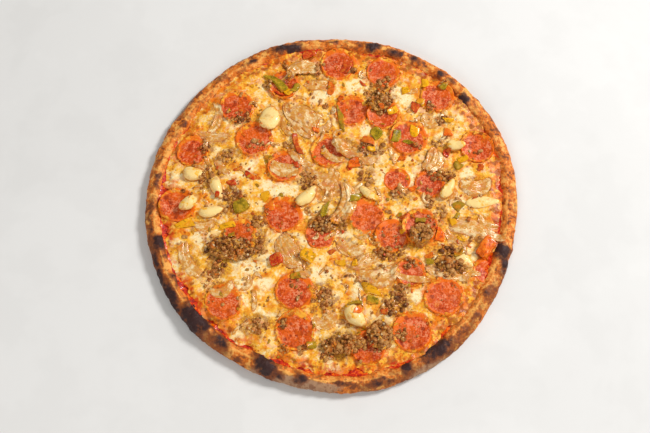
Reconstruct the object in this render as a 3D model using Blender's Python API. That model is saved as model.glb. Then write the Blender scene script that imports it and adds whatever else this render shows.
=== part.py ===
"""A whole round pizza: a rimmed dough base, tomato sauce, melted cheese and what lies on it.

Metres, +Z up. The underside rests on Z = 0, and the origin is below the middle of the pizza.
"""

import math
import random

import bmesh
import bpy
from mathutils import Matrix, Vector, noise
from mathutils.bvhtree import BVHTree

MM = 0.001
SEED = 11
GAP = 0.35 * MM
SMOOTH_ANGLE = math.radians(40)

# The view that the toppings were placed from: a 650 x 433 picture, leaning back from straight down
PICTURE_MIDDLE = (325.0, 216.5)
PIXELS_AT_UNIT_DEPTH = 847.6
VIEW_DISTANCE = 850 * MM
VIEW_ELEVATION = math.radians(71.7)
VIEW_TARGET = (-7.5 * MM, -13.0 * MM)
TOPPING_LEVEL = 8 * MM

# Dough: the outline's radius every 22.5 degrees, anticlockwise from +X
OUTLINE_RADII = (185.5, 189.5, 189, 187, 185, 187, 185.3, 186.8,
                 187.8, 186.8, 186.5, 185.5, 188.8, 190.5, 186.3, 182.2)
NOMINAL_RADIUS = 187 * MM
CRUST_STEPS = 104
BASE_THICKNESS = 4.0 * MM
RIM_HEIGHT = 12.5 * MM
SIDE_HEIGHT = 5.0 * MM
FOOT_INSET = 8.0 * MM
CREST_INSET = 11.0 * MM
INNER_WIDTH = 12.0 * MM
UNDER_STEPS, OVER_STEPS, INNER_STEPS = 3, 4, 4
BUMP_SIZE = 15 * MM
BUMP_HEIGHT = 1.5 * MM
RAGGED_DEPTH = 1.0 * MM
SCALLOP_SIZE = 26 * MM
SCALLOP_DEPTH = 0.22

# Blisters on the rim: picture x and y, radius and height
BLISTERS = (
    (267, 360, 13, 4.5), (196, 314, 11, 3.0), (206, 331, 10, 2.2), (159, 243, 9, 2.6),
    (502, 250, 8, 3.0), (282, 50, 9, 2.2), (297, 47, 8, 2.4), (373, 47, 9, 2.6),
    (396, 53, 7, 2.0), (462, 98, 7, 2.2), (438, 350, 11, 2.2), (302, 377, 8, 2.4),
    (184, 126, 6, 1.8), (177, 280, 7, 2.4), (345, 383, 9, 2.0), (408, 366, 7, 2.2),
    (379, 381, 10, 1.8), (487, 292, 9, 1.8), (222, 80, 7, 1.6), (333, 42, 8, 1.5),
    (440, 75, 7, 1.8), (152, 217, 9, 1.5), (157, 181, 8, 1.8), (475, 318, 8, 1.6),
)

# Sauce and cheese
LAYER_STEPS = 52
LAYER_REACH = 1.5 * MM
SAUCE_RINGS = ((24, 1.1), (20, 0.9), (16.5, 0.5))
CHEESE_THICKNESS = 2.6 * MM
CHEESE_EDGE_THICKNESS = 1.0 * MM
CHEESE_INSET = 21 * MM
CHEESE_WANDER = 3.0 * MM
CHEESE_LUMP = 1.1 * MM
CHEESE_LUMP_SIZE = 24 * MM
CHEESE_RINGS = 11

# Pepperoni: picture x and y, radius and how far the edge curls up
SLICE_THICKNESS = 1.8 * MM
SLICE_STEPS = 14
SLICE_REACH = 3.0 * MM
SLICE_UNEVENNESS = (0.03, 0.02)
SLICES = (
    (338, 66, 18.5, 1.0), (383, 74, 17.5, 0.6), (437, 98, 17.5, 0.8), (237, 108, 18, 0.8),
    (284, 87, 16, 2.2), (254, 140, 19, 1.0), (351, 112, 17.5, 0.8), (383, 116, 17, 1.2),
    (408, 139, 19, 1.2), (476, 148, 17.5, 1.2), (193, 153, 16.5, 0.6), (328, 152, 18, 1.4),
    (284, 167, 17, 1.4), (429, 185, 15, 0.8), (178, 206, 18, 1.4),
    (283, 215, 19, 0.8), (366, 217, 18, 0.6), (391, 237, 17, 0.6), (419, 227, 18, 2.0),
    (240, 235, 16, 1.0), (295, 292, 19, 1.0), (224, 303, 18, 1.2), (295, 331, 19.5, 0.8),
    (443, 297, 19.5, 0.6), (412, 332, 19.5, 0.8), (368, 348, 16.5, 0.6), (410, 273, 15, 1.2),
)

# Garlic: picture x and y, length, width, height and the turn of its length from +X
CLOVE_TAPER = 0.28
CLOVE_POINT = 0.12
CLOVE_BEND = 0.06
CLOVE_HALF_HEIGHT = 0.7
CLOVE_SINK = 0.25
CLOVE_REACH = 1.0 * MM
CLOVES = (
    (271, 120, 29, 23, 7, 80), (195, 176, 25, 15, 8, -8), (217, 189, 27, 12, 8, -70),
    (191, 205, 25, 12, 8, 40), (212, 213, 27, 12, 7, 12), (308, 198, 29, 14, 8, 46),
    (455, 148, 20, 12, 8, 0), (448, 191, 27, 11, 7, 58), (370, 196, 28, 9, 6, -33),
    (355, 318, 28, 17, 10, -50),
)

# Onion: picture x and y, length, width, turn, and the bend of its middle line
PETAL_THICKNESS = 1.1 * MM
PETAL_STEPS = (8, 3)
PETAL_END_WIDTH = 0.35
PETAL_WAVE = 0.5 * MM
PETAL_ARCH = 0.7 * MM
PETAL_WAVES = 3
PETALS = (
    (289, 252, 38, 22, -60, 1), (378, 276, 42, 19, 10, 4), (303, 121, 40, 21, -42, -4),
    (343, 206, 44, 17, 70, 5), (347, 150, 34, 13, -28, 3), (469, 231, 40, 19, -24, -3),
    (432, 162, 27, 19, 62, 2), (303, 72, 34, 15, 8, -3), (475, 187, 32, 17, 4, 3),
)

# Sausage heaps: picture x and y, half length, half width, turn and the number of crumbs
HEAP_HEIGHT = 3.2 * MM
HEAP_STEPS = 10
HEAP_UNEVENNESS = (0.85, 1.1)
HEAP_REACH = 2.0 * MM
MOST_LIFTS = 8
CRUMB_RADII = (2.2 * MM, 4.0 * MM)
CRUMB_RINGS = (0.3, 0.55, 0.8)
CRUMB_JITTER = 0.3
CRUMB_WIDTHS = (0.8, 1.3)
CRUMB_HEIGHTS = (0.7, 0.9)
CRUMB_CORNERS = (0.8, 1.15)
HEAPS = (
    (232, 251, 24, 11, -10, 11), (378, 104, 12, 11, 0, 8), (343, 345, 22, 9, 6, 10),
    (420, 237, 12, 11, 0, 8), (323, 225, 15, 8, -8, 7), (379, 336, 12, 14, 0, 8),
    (450, 265, 16, 9, -12, 8),
)

# Diced pepper that is a node: name, picture x and y, length, width, height and turn
DICE_BEVEL = 0.16
DICE_TAPER = 0.12
DICE_LEAN = 0.1
DICE = (
    ("pepper_green", 241, 207, 15, 12, 4, 25),
    ("pepper_orange", 485, 249, 21, 13, 5, 55),
    ("pepper_red", 276, 261, 12, 11, 5, 20),
    ("pepper_yellow", 308, 257, 15, 11, 5, -35),
)

# Small bits fused to the cheese: picture x and y, the spread in each direction and the number
CRUMB_PATCHES = (
    (227, 158, 7, 7, 4), (207, 178, 7, 10, 5), (232, 202, 9, 12, 7), (258, 225, 11, 6, 4),
    (216, 270, 11, 8, 5), (259, 246, 7, 11, 4), (383, 88, 11, 3, 3), (378, 151, 14, 5, 5),
    (306, 182, 9, 6, 4), (366, 179, 6, 6, 3), (441, 176, 11, 5, 4), (400, 197, 8, 4, 3),
    (441, 212, 5, 9, 4), (388, 254, 10, 6, 4), (450, 251, 11, 4, 3), (397, 301, 10, 14, 7),
    (324, 298, 10, 10, 6), (256, 326, 12, 7, 5), (306, 352, 10, 6, 3), (436, 145, 6, 5, 2),
    (444, 123, 8, 4, 3), (315, 73, 4, 5, 2), (420, 115, 6, 6, 2), (262, 330, 8, 5, 2),
)
DICE_PATCHES = (
    (405, 90, 7, 5, 3), (415, 109, 6, 4, 2), (340, 122, 2, 12, 3), (376, 134, 5, 4, 2),
    (265, 197, 5, 4, 2), (353, 166, 6, 5, 3), (446, 154, 3, 3, 1), (459, 163, 6, 5, 2),
    (397, 180, 8, 8, 2), (457, 208, 6, 6, 2), (452, 222, 4, 3, 1), (371, 291, 9, 4, 3),
    (340, 263, 8, 3, 2), (372, 303, 4, 6, 2), (316, 345, 5, 4, 2), (185, 226, 8, 4, 2),
    (447, 133, 4, 3, 1), (309, 55, 5, 3, 1), (366, 142, 4, 3, 1), (331, 254, 5, 5, 2),
)
CUBE_SIDES = (4.5 * MM, 6.3 * MM)
CUBE_SHAPE = (1.1, 0.9, 0.6)
FUSE_DEPTH = 0.9 * MM
BIT_REACH = 5.0 * MM
BIT_GROWTH = 1.2 * MM

# Finish: colour and roughness of each kind of piece
FINISHES = {
    "crust": ((0.62, 0.31, 0.11), 0.8),
    "sauce": ((0.62, 0.06, 0.03), 0.35),
    "cheese": ((0.93, 0.68, 0.30), 0.4),
    "pepperoni": ((0.72, 0.16, 0.05), 0.4),
    "garlic": ((0.90, 0.72, 0.38), 0.4),
    "onion": ((0.70, 0.46, 0.28), 0.35),
    "sausage": ((0.24, 0.14, 0.06), 0.7),
    "pepper_green": ((0.30, 0.26, 0.02), 0.3),
    "pepper_orange": ((0.85, 0.17, 0.02), 0.3),
    "pepper_red": ((0.70, 0.04, 0.02), 0.3),
    "pepper_yellow": ((0.90, 0.60, 0.03), 0.3),
}


def on_pizza(x, y, level=TOPPING_LEVEL):
    """The point at this height that the picture shows at pixel x, y."""
    across = (x - PICTURE_MIDDLE[0]) / PIXELS_AT_UNIT_DEPTH
    up = (PICTURE_MIDDLE[1] - y) / PIXELS_AT_UNIT_DEPTH
    sine, cosine = math.sin(VIEW_ELEVATION), math.cos(VIEW_ELEVATION)
    depth = VIEW_DISTANCE - level * sine
    forward = (up * depth - level * cosine) / (sine - up * cosine)
    sideways = across * (depth + forward * cosine)
    return Vector((VIEW_TARGET[0] + sideways, VIEW_TARGET[1] + forward, level))


def outline_radius(angle):
    """The dough's outer radius in this direction, on a smooth closed curve through the named radii."""
    count = len(OUTLINE_RADII)
    place = (angle / math.tau * count) % count
    first = int(place)
    a, b, c, d = (OUTLINE_RADII[(first + k) % count] * MM for k in (-1, 0, 1, 2))
    t = place - first
    return b + t / 2 * (c - a + t * (2 * a - 5 * b + 4 * c - d + t * (3 * (b - c) + d - a)))


def scallop(angle):
    """How much wider than usual the rim is here, as a share."""
    spot = Vector((math.cos(angle), math.sin(angle), 0)) * NOMINAL_RADIUS
    return 1 + SCALLOP_DEPTH * noise.noise(spot / SCALLOP_SIZE)


def polar(point):
    return math.atan2(point.y, point.x), math.hypot(point.x, point.y)


def finish_material(kind):
    material = bpy.data.materials.get(kind) or bpy.data.materials.new(kind)
    material.use_nodes = True
    surface = material.node_tree.nodes["Principled BSDF"]
    colour, roughness = FINISHES[kind]
    surface.inputs["Base Color"].default_value = (*colour, 1)
    surface.inputs["Roughness"].default_value = roughness
    surface.inputs["Metallic"].default_value = 0
    return material


def add_piece(name, kind, shape):
    """Makes the shape an object of its own, with its kind's finish."""
    bmesh.ops.recalc_face_normals(shape, faces=shape.faces)
    mesh = bpy.data.meshes.new(name)
    shape.to_mesh(mesh)
    shape.free()
    mesh.materials.append(finish_material(kind))
    mesh.shade_smooth()
    mesh.set_sharp_from_angle(angle=SMOOTH_ANGLE)
    piece = bpy.data.objects.new(name, mesh)
    bpy.context.scene.collection.objects.link(piece)
    return piece


def turned(profile, steps):
    """A closed body turned round Z from (radius, height) points, with a fan of faces over both ends."""
    shape = bmesh.new()
    verts = [shape.verts.new((radius, 0, height)) for radius, height in profile]
    edges = [shape.edges.new(pair) for pair in zip(verts, verts[1:])]
    bmesh.ops.spin(shape, geom=verts + edges, cent=(0, 0, 0), axis=(0, 0, 1),
                   angle=math.tau, steps=steps, use_merge=True)
    open_edges = [edge for edge in shape.edges if edge.is_boundary]
    caps = bmesh.ops.holes_fill(shape, edges=open_edges, sides=0)["faces"]
    bmesh.ops.poke(shape, faces=caps)
    return shape


class Stack:
    """What has been laid so far, so that the next piece can rest on it."""

    def __init__(self):
        self.pieces = {}

    def add(self, piece):
        shape = bmesh.new()
        shape.from_mesh(piece.data)
        tree = BVHTree.FromBMesh(shape)
        corners = [v.co for v in shape.verts]
        low = Vector(map(min, zip(*corners)))
        high = Vector(map(max, zip(*corners)))
        shape.free()
        self.pieces[piece.name] = tree, low, high

    def top(self, x, y):
        """The highest surface over x, y."""
        best = 0.0
        for tree, low, high in self.pieces.values():
            if low.x <= x <= high.x and low.y <= y <= high.y and high.z > best:
                hit = tree.ray_cast(Vector((x, y, 1)), Vector((0, 0, -1)))[0]
                if hit is not None:
                    best = max(best, hit.z)
        return best

    def top_round(self, x, y, reach):
        """The highest surface over x, y and a ring of points round it."""
        ring = [(reach * math.cos(k * math.tau / 6), reach * math.sin(k * math.tau / 6)) for k in range(6)]
        return max(self.top(x + dx, y + dy) for dx, dy in [(0, 0), *ring])

    def crosses(self, shape):
        tree = BVHTree.FromBMesh(shape)
        return any(tree.overlap(other) for other, low, high in self.pieces.values())

    def clear(self, point, distance, *leave_out):
        """Whether no piece, apart from those left out, is within a distance of a point."""
        trees = [tree for name, (tree, low, high) in self.pieces.items() if name not in leave_out]
        return all(tree.find_nearest(point, distance)[0] is None for tree in trees)


def lift_clear(shape, stack):
    """Raises a shape in small steps until it is a step above what it crosses; gives the steps taken."""
    lifts = 0
    while stack.crosses(shape):
        bmesh.ops.translate(shape, vec=(0, 0, GAP), verts=shape.verts)
        lifts += 1
    bmesh.ops.translate(shape, vec=(0, 0, GAP), verts=shape.verts)
    return lifts


def lay(shape, stack, reach):
    """Lets a shape, whose heights count from its own underside, settle on what is below it."""
    for vert in shape.verts:
        vert.co.z += stack.top_round(vert.co.x, vert.co.y, reach)
    lift_clear(shape, stack)


def rim_profile():
    """(inset from the outline, height) from the foot, up the side and over to the base inside."""
    points = []
    for step in range(UNDER_STEPS + 1):
        turn = math.pi / 2 * step / UNDER_STEPS
        points.append((FOOT_INSET * (1 - math.sin(turn)), SIDE_HEIGHT * (1 - math.cos(turn))))
    for step in range(1, OVER_STEPS + 1):
        turn = math.pi / 2 * step / OVER_STEPS
        rise = (RIM_HEIGHT - SIDE_HEIGHT) * math.sin(turn)
        points.append((CREST_INSET * (1 - math.cos(turn)), SIDE_HEIGHT + rise))
    for step in range(1, INNER_STEPS + 1):
        share = step / INNER_STEPS
        fall = (RIM_HEIGHT - BASE_THICKNESS) * (1 + math.cos(math.pi * share)) / 2
        points.append((CREST_INSET + INNER_WIDTH * share, BASE_THICKNESS + fall))
    return points


def blister_rise(point):
    """How far the blisters lift the dough at a point of the rim."""
    rise = 0.0
    for x, y, radius, height in BLISTERS:
        away = (on_pizza(x, y, RIM_HEIGHT).xy - point.xy).length / (radius * MM)
        rise = max(rise, height * MM * math.exp(-away * away))
    return rise


def make_crust():
    profile = [(NOMINAL_RADIUS - inset, height) for inset, height in rim_profile()]
    shape = turned(profile, CRUST_STEPS)
    for vert in shape.verts:
        angle, radius = polar(vert.co)
        inset = (NOMINAL_RADIUS - radius) * scallop(angle)
        ragged = RAGGED_DEPTH * noise.noise(Vector((vert.co.x, vert.co.y, 0)) / BUMP_SIZE)
        new_radius = outline_radius(angle) - inset + ragged
        vert.co.x, vert.co.y = new_radius * math.cos(angle), new_radius * math.sin(angle)
        share = min(max((vert.co.z - BASE_THICKNESS) / (RIM_HEIGHT - BASE_THICKNESS), 0), 1)
        bump = BUMP_HEIGHT * noise.noise(vert.co / BUMP_SIZE)
        vert.co.z += share * (bump + blister_rise(vert.co))
    return add_piece("crust", "crust", shape)


def make_sauce(stack):
    """A thin layer over the whole base that climbs the inside of the rim."""
    under = [(NOMINAL_RADIUS - inset * MM, 0.0) for inset, thickness in SAUCE_RINGS]
    over = [(NOMINAL_RADIUS - inset * MM, thickness * MM) for inset, thickness in reversed(SAUCE_RINGS)]
    shape = turned(under + over, LAYER_STEPS)
    for vert in shape.verts:
        angle, radius = polar(vert.co)
        new_radius = outline_radius(angle) - (NOMINAL_RADIUS - radius) * scallop(angle)
        vert.co.x, vert.co.y = new_radius * math.cos(angle), new_radius * math.sin(angle)
    lay(shape, stack, LAYER_REACH)
    return add_piece("sauce", "sauce", shape)


def make_cheese(stack):
    """Melted cheese with a wandering edge and low lumps, thicker towards the middle."""
    edge = NOMINAL_RADIUS - CHEESE_INSET
    spread = [edge * (k / CHEESE_RINGS) for k in range(1, CHEESE_RINGS + 1)]
    over = [(radius, CHEESE_THICKNESS) for radius in reversed(spread[:-1])]
    profile = [(spread[-2], 0.0), (edge, 0.0), (edge, CHEESE_EDGE_THICKNESS), *over]
    shape = turned(profile, LAYER_STEPS)
    for vert in shape.verts:
        angle, radius = polar(vert.co)
        spot = vert.co / CHEESE_LUMP_SIZE
        wander = CHEESE_WANDER * noise.noise(Vector((spot.x, spot.y, 5)))
        new_radius = radius * (outline_radius(angle) - CHEESE_INSET + wander) / edge
        vert.co.x, vert.co.y = new_radius * math.cos(angle), new_radius * math.sin(angle)
        if vert.co.z >= CHEESE_THICKNESS:
            vert.co.z += CHEESE_LUMP * noise.noise(vert.co / CHEESE_LUMP_SIZE)
    lay(shape, stack, LAYER_REACH)
    return add_piece("cheese", "cheese", shape)


def make_slice(number, stack, x, y, radius, curl):
    """One pepperoni slice, not quite round, whose edge curls up."""
    radius *= MM
    profile = [(radius / 2, 0), (radius, 0), (radius, SLICE_THICKNESS), (radius / 2, SLICE_THICKNESS)]
    shape = turned(profile, SLICE_STEPS)
    middle = on_pizza(x, y)
    for vert in shape.verts:
        angle, away = polar(vert.co)
        vert.co.z += curl * MM * (away / radius) ** 3
        uneven = 1 + sum(depth * math.sin((k + 2) * angle + (k + 1) * number)
                         for k, depth in enumerate(SLICE_UNEVENNESS))
        vert.co.x = middle.x + away * uneven * math.cos(angle)
        vert.co.y = middle.y + away * uneven * math.sin(angle)
    lay(shape, stack, SLICE_REACH)
    return add_piece(f"pepperoni_{number:02d}", "pepperoni", shape)


def place_flat(shape, x, y, turn):
    """Turns a shape about Z and moves it to where the picture shows it."""
    middle = on_pizza(x, y)
    matrix = Matrix.Translation((middle.x, middle.y, 0)) @ Matrix.Rotation(math.radians(turn), 4, "Z")
    bmesh.ops.transform(shape, matrix=matrix, verts=shape.verts)


def make_clove(number, stack, x, y, length, width, height, turn):
    """A garlic clove on its side: blunt at one end, pointed at the other, flattened below."""
    shape = bmesh.new()
    bmesh.ops.create_icosphere(shape, subdivisions=2, radius=1.0)
    for vert in shape.verts:
        along = vert.co.x
        taper = 1 - CLOVE_TAPER * along - CLOVE_POINT * along * along
        bend = CLOVE_BEND * length * along * along
        rise = (vert.co.z * CLOVE_HALF_HEIGHT * taper + CLOVE_SINK) * height
        vert.co = Vector((along * length / 2, vert.co.y * width / 2 * taper + bend, max(rise, 0))) * MM
    place_flat(shape, x, y, turn)
    lay(shape, stack, CLOVE_REACH)
    return add_piece(f"garlic_{number:02d}", "garlic", shape)


def make_petal(number, stack, x, y, length, width, turn, bend):
    """A wavy strip of onion: an arched sheet of even thickness, narrower at its ends."""
    shape = bmesh.new()
    bmesh.ops.create_grid(shape, x_segments=PETAL_STEPS[0], y_segments=PETAL_STEPS[1], size=1.0)
    sheet = shape.faces[:]
    for vert in shape.verts:
        along, across = vert.co.x, vert.co.y
        taper = PETAL_END_WIDTH + (1 - PETAL_END_WIDTH) * math.sqrt(max(1 - abs(along) ** 3, 0))
        wave = PETAL_WAVE * (1 + math.sin(PETAL_WAVES * along + number))
        arch = PETAL_ARCH * (1 - across * across)
        middle_line = bend * (2 * along * along - 1)
        sideways = across * width / 2 * taper + middle_line
        vert.co = (along * length / 2 * MM, sideways * MM, wave + arch)
    grown = bmesh.ops.extrude_face_region(shape, geom=sheet)["geom"]
    raised = [item for item in grown if isinstance(item, bmesh.types.BMVert)]
    bmesh.ops.translate(shape, vec=(0, 0, PETAL_THICKNESS), verts=raised)
    place_flat(shape, x, y, turn)
    lay(shape, stack, LAYER_REACH)
    return add_piece(f"onion_{number:02d}", "onion", shape)


def crumb(draw, middle, radius):
    """A rough lump of meat about a point, as an icosahedron with uneven corners."""
    shape = bmesh.new()
    bmesh.ops.create_icosphere(shape, subdivisions=1, radius=radius)
    stretch = Vector((draw.uniform(*CRUMB_WIDTHS), draw.uniform(*CRUMB_WIDTHS), draw.uniform(*CRUMB_HEIGHTS)))
    for vert in shape.verts:
        vert.co = middle + vert.co * draw.uniform(*CRUMB_CORNERS) * stretch
    return shape


def fuse(body, extras):
    """Joins the extra objects into the body with one Boolean union, and removes them."""
    group = bpy.data.collections.new("extras")
    bpy.context.scene.collection.children.link(group)
    for extra in extras:
        bpy.context.scene.collection.objects.unlink(extra)
        group.objects.link(extra)
    union = body.modifiers.new("union", "BOOLEAN")
    union.operation = "UNION"
    union.operand_type = "COLLECTION"
    union.collection = group
    union.solver = "MANIFOLD"
    bpy.context.view_layer.update()
    graph = bpy.context.evaluated_depsgraph_get()
    joined = bpy.data.meshes.new_from_object(body.evaluated_get(graph))
    body.modifiers.clear()
    body.data = joined
    for extra in extras:
        bpy.data.objects.remove(extra)
    bpy.data.collections.remove(group)
    return body


def make_heap(number, stack, x, y, half_length, half_width, turn, count):
    """Crumbled sausage: a low core with uneven crumbs fused on and over its edge."""
    draw = random.Random(SEED + number)
    core = turned([(0.5, 0), (1, 0), (1, HEAP_HEIGHT / 2), (0.5, HEAP_HEIGHT)], HEAP_STEPS)
    for vert in core.verts:
        uneven = draw.uniform(*HEAP_UNEVENNESS)
        vert.co.x *= half_length * MM * uneven
        vert.co.y *= half_width * MM * uneven
    place_flat(core, x, y, turn)
    lay(core, stack, HEAP_REACH)
    heap = add_piece(f"sausage_{number:02d}", "sausage", core)
    core_top = Stack()
    core_top.add(heap)
    middle = on_pizza(x, y)
    extras = []
    for item in range(count):
        angle = math.tau * item / count + draw.uniform(-CRUMB_JITTER, CRUMB_JITTER)
        away = CRUMB_RINGS[item % len(CRUMB_RINGS)] * MM
        spot = Vector((half_length * away * math.cos(angle), half_width * away * math.sin(angle), 0))
        spot.rotate(Matrix.Rotation(math.radians(turn), 3, "Z"))
        spot += middle
        spot.z = core_top.top(spot.x, spot.y)
        shape = crumb(draw, spot, draw.uniform(*CRUMB_RADII))
        if lift_clear(shape, stack) < MOST_LIFTS:
            extras.append(add_piece(f"crumb_{item}", "sausage", shape))
    return fuse(heap, extras)


def make_dice(name, stack, x, y, length, width, height, turn):
    """A piece of diced pepper: a bevelled block, a little wider at one side, that follows what it lies on."""
    shape = bmesh.new()
    bmesh.ops.create_cube(shape, size=1.0)
    bmesh.ops.bevel(shape, geom=shape.edges[:], offset=DICE_BEVEL, segments=1, profile=0.5,
                    affect="EDGES", material=-1)
    for vert in shape.verts:
        vert.co.x *= length * MM * (1 - DICE_TAPER * vert.co.y)
        vert.co.y = (vert.co.y + DICE_LEAN * vert.co.z) * width * MM
        vert.co.z = (vert.co.z + 0.5) * height * MM
    place_flat(shape, x, y, turn)
    lay(shape, stack, HEAP_REACH)
    return add_piece(name, name, shape)


def scatter(draw, stack, cheese_top, patches, bit):
    """Bits for the cheese in the named patches, left out where they would touch something else."""
    made = []
    for x, y, spread_x, spread_y, count in patches:
        for _ in range(count):
            angle, away = draw.uniform(0, math.tau), math.sqrt(draw.random())
            spot = on_pizza(x + spread_x * away * math.cos(angle), y + spread_y * away * math.sin(angle))
            size = draw.random()
            spot.z = cheese_top.top(spot.x, spot.y)
            if spot.z and stack.clear(spot, BIT_REACH + size * BIT_GROWTH, "sauce", "cheese"):
                made.append(add_piece(f"bit_{len(made)}", "cheese", bit(draw, spot, size)))
    return made


def crumb_bit(draw, spot, size):
    """A small crumb of sausage, sunk a little into the cheese."""
    radius = CRUMB_RADII[0] + size * BIT_GROWTH
    return crumb(draw, spot + Vector((0, 0, radius - FUSE_DEPTH)), radius)


def cube_bit(draw, spot, size):
    """A small block of diced pepper, sunk a little into the cheese."""
    shape = bmesh.new()
    side = CUBE_SIDES[0] + size * (CUBE_SIDES[1] - CUBE_SIDES[0])
    bmesh.ops.create_cube(shape, size=side)
    turn = Matrix.Rotation(draw.uniform(0, math.tau), 4, "Z")
    place = Matrix.Translation(spot + Vector((0, 0, (side * CUBE_SHAPE[2] - FUSE_DEPTH) / 2)))
    bmesh.ops.transform(shape, matrix=place @ turn @ Matrix.Diagonal((*CUBE_SHAPE, 1)), verts=shape.verts)
    return shape


def set_origins():
    """Puts each piece's origin below its own middle, and the pizza's middle over the world's origin."""
    boxes = {}
    for piece in bpy.context.scene.objects:
        corners = [vert.co for vert in piece.data.vertices]
        low, high = Vector(map(min, zip(*corners))), Vector(map(max, zip(*corners)))
        boxes[piece] = Vector(((low.x + high.x) / 2, (low.y + high.y) / 2, low.z))
    middle = boxes[bpy.data.objects["crust"]]
    for piece, base in boxes.items():
        piece.data.transform(Matrix.Translation(-base))
        piece.location = (base.x - middle.x, base.y - middle.y, base.z)


def main():
    for old in list(bpy.data.objects):
        bpy.data.objects.remove(old)
    stack = Stack()
    stack.add(make_crust())
    stack.add(make_sauce(stack))
    cheese = make_cheese(stack)
    stack.add(cheese)
    for number, row in enumerate(SLICES, 1):
        stack.add(make_slice(number, stack, *row))
    for number, row in enumerate(HEAPS, 1):
        stack.add(make_heap(number, stack, *row))
    for number, row in enumerate(PETALS, 1):
        stack.add(make_petal(number, stack, *row))
    for number, row in enumerate(CLOVES, 1):
        stack.add(make_clove(number, stack, *row))
    for name, *row in DICE:
        stack.add(make_dice(name, stack, *row))
    draw = random.Random(SEED)
    cheese_top = Stack()
    cheese_top.add(cheese)
    crumbs = scatter(draw, stack, cheese_top, CRUMB_PATCHES, crumb_bit)
    dice = scatter(draw, stack, cheese_top, DICE_PATCHES, cube_bit)
    fuse(cheese, crumbs + dice)
    set_origins()


main()
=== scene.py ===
"""A whole round pizza with pepperoni, crumbled sausage, onion, garlic cloves and diced pepper.

It is laid out as an add-on and run as a script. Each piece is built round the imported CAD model.
"""

import math
import random

import bmesh
import bpy
from bpy.props import FloatProperty, FloatVectorProperty, IntProperty, PointerProperty
from bpy.types import Operator, Panel, PropertyGroup
from mathutils import Matrix, Vector, noise
from mathutils.bvhtree import BVHTree
from mathutils.kdtree import KDTree


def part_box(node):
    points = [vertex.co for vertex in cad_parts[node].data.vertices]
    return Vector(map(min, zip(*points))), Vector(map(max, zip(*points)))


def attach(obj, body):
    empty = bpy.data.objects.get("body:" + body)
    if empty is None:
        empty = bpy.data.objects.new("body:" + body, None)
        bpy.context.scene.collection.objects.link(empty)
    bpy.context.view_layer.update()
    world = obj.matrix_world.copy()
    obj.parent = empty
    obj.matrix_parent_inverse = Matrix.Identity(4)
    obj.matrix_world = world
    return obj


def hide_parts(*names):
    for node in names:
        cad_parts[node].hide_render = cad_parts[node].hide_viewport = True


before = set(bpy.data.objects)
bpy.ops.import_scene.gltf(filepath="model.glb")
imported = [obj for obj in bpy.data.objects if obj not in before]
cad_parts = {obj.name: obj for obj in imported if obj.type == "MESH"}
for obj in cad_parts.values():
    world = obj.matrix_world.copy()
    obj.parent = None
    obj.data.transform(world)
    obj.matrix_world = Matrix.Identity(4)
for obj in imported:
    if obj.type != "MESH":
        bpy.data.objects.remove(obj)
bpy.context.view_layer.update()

bl_info = {
    "name": "Pepperoni and Sausage Pizza",
    "version": (1, 0, 0),
    "blender": (4, 5, 0),
    "location": "3D View > Sidebar > Pizza",
    "description": "Dresses a whole round pizza: dough, sauce, melted cheese and toppings",
    "category": "Add Mesh",
}

MM = 0.001
SEED = 7
SKY = 0.1
FAR_OUT = 250 * MM
WELD = 0.01 * MM
CELL = 8 * MM
DOWN = Vector((0, 0, -1))
UP = Vector((0, 0, 1))
SMOOTH_ANGLE = math.radians(50)
SPECULAR = 0.22

# The view that the toppings were placed from: a 650 x 433 picture, leaning back from straight down
PICTURE_SIZE = (650, 433)
PICTURE_MIDDLE = (325.0, 216.5)
PIXELS_AT_UNIT_DEPTH = 847.6
VIEW_DISTANCE = 850 * MM
VIEW_ELEVATION = math.radians(71.7)
VIEW_TARGET = (-6.93 * MM, -10.81 * MM)
SENSOR_WIDTH = 36.0
TOPPING_LEVEL = 8 * MM
RIM_LEVEL = 12 * MM

# Dough
CRUST_STEPS = 1000
RIM_STEPS = 46
RIM_RADIUS = 177 * MM
RIM_HALF_WIDTH = 5 * MM
CORE_INSET = 11 * MM
CORE_HEIGHT = 6 * MM
BASE_TOP = 4 * MM

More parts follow.
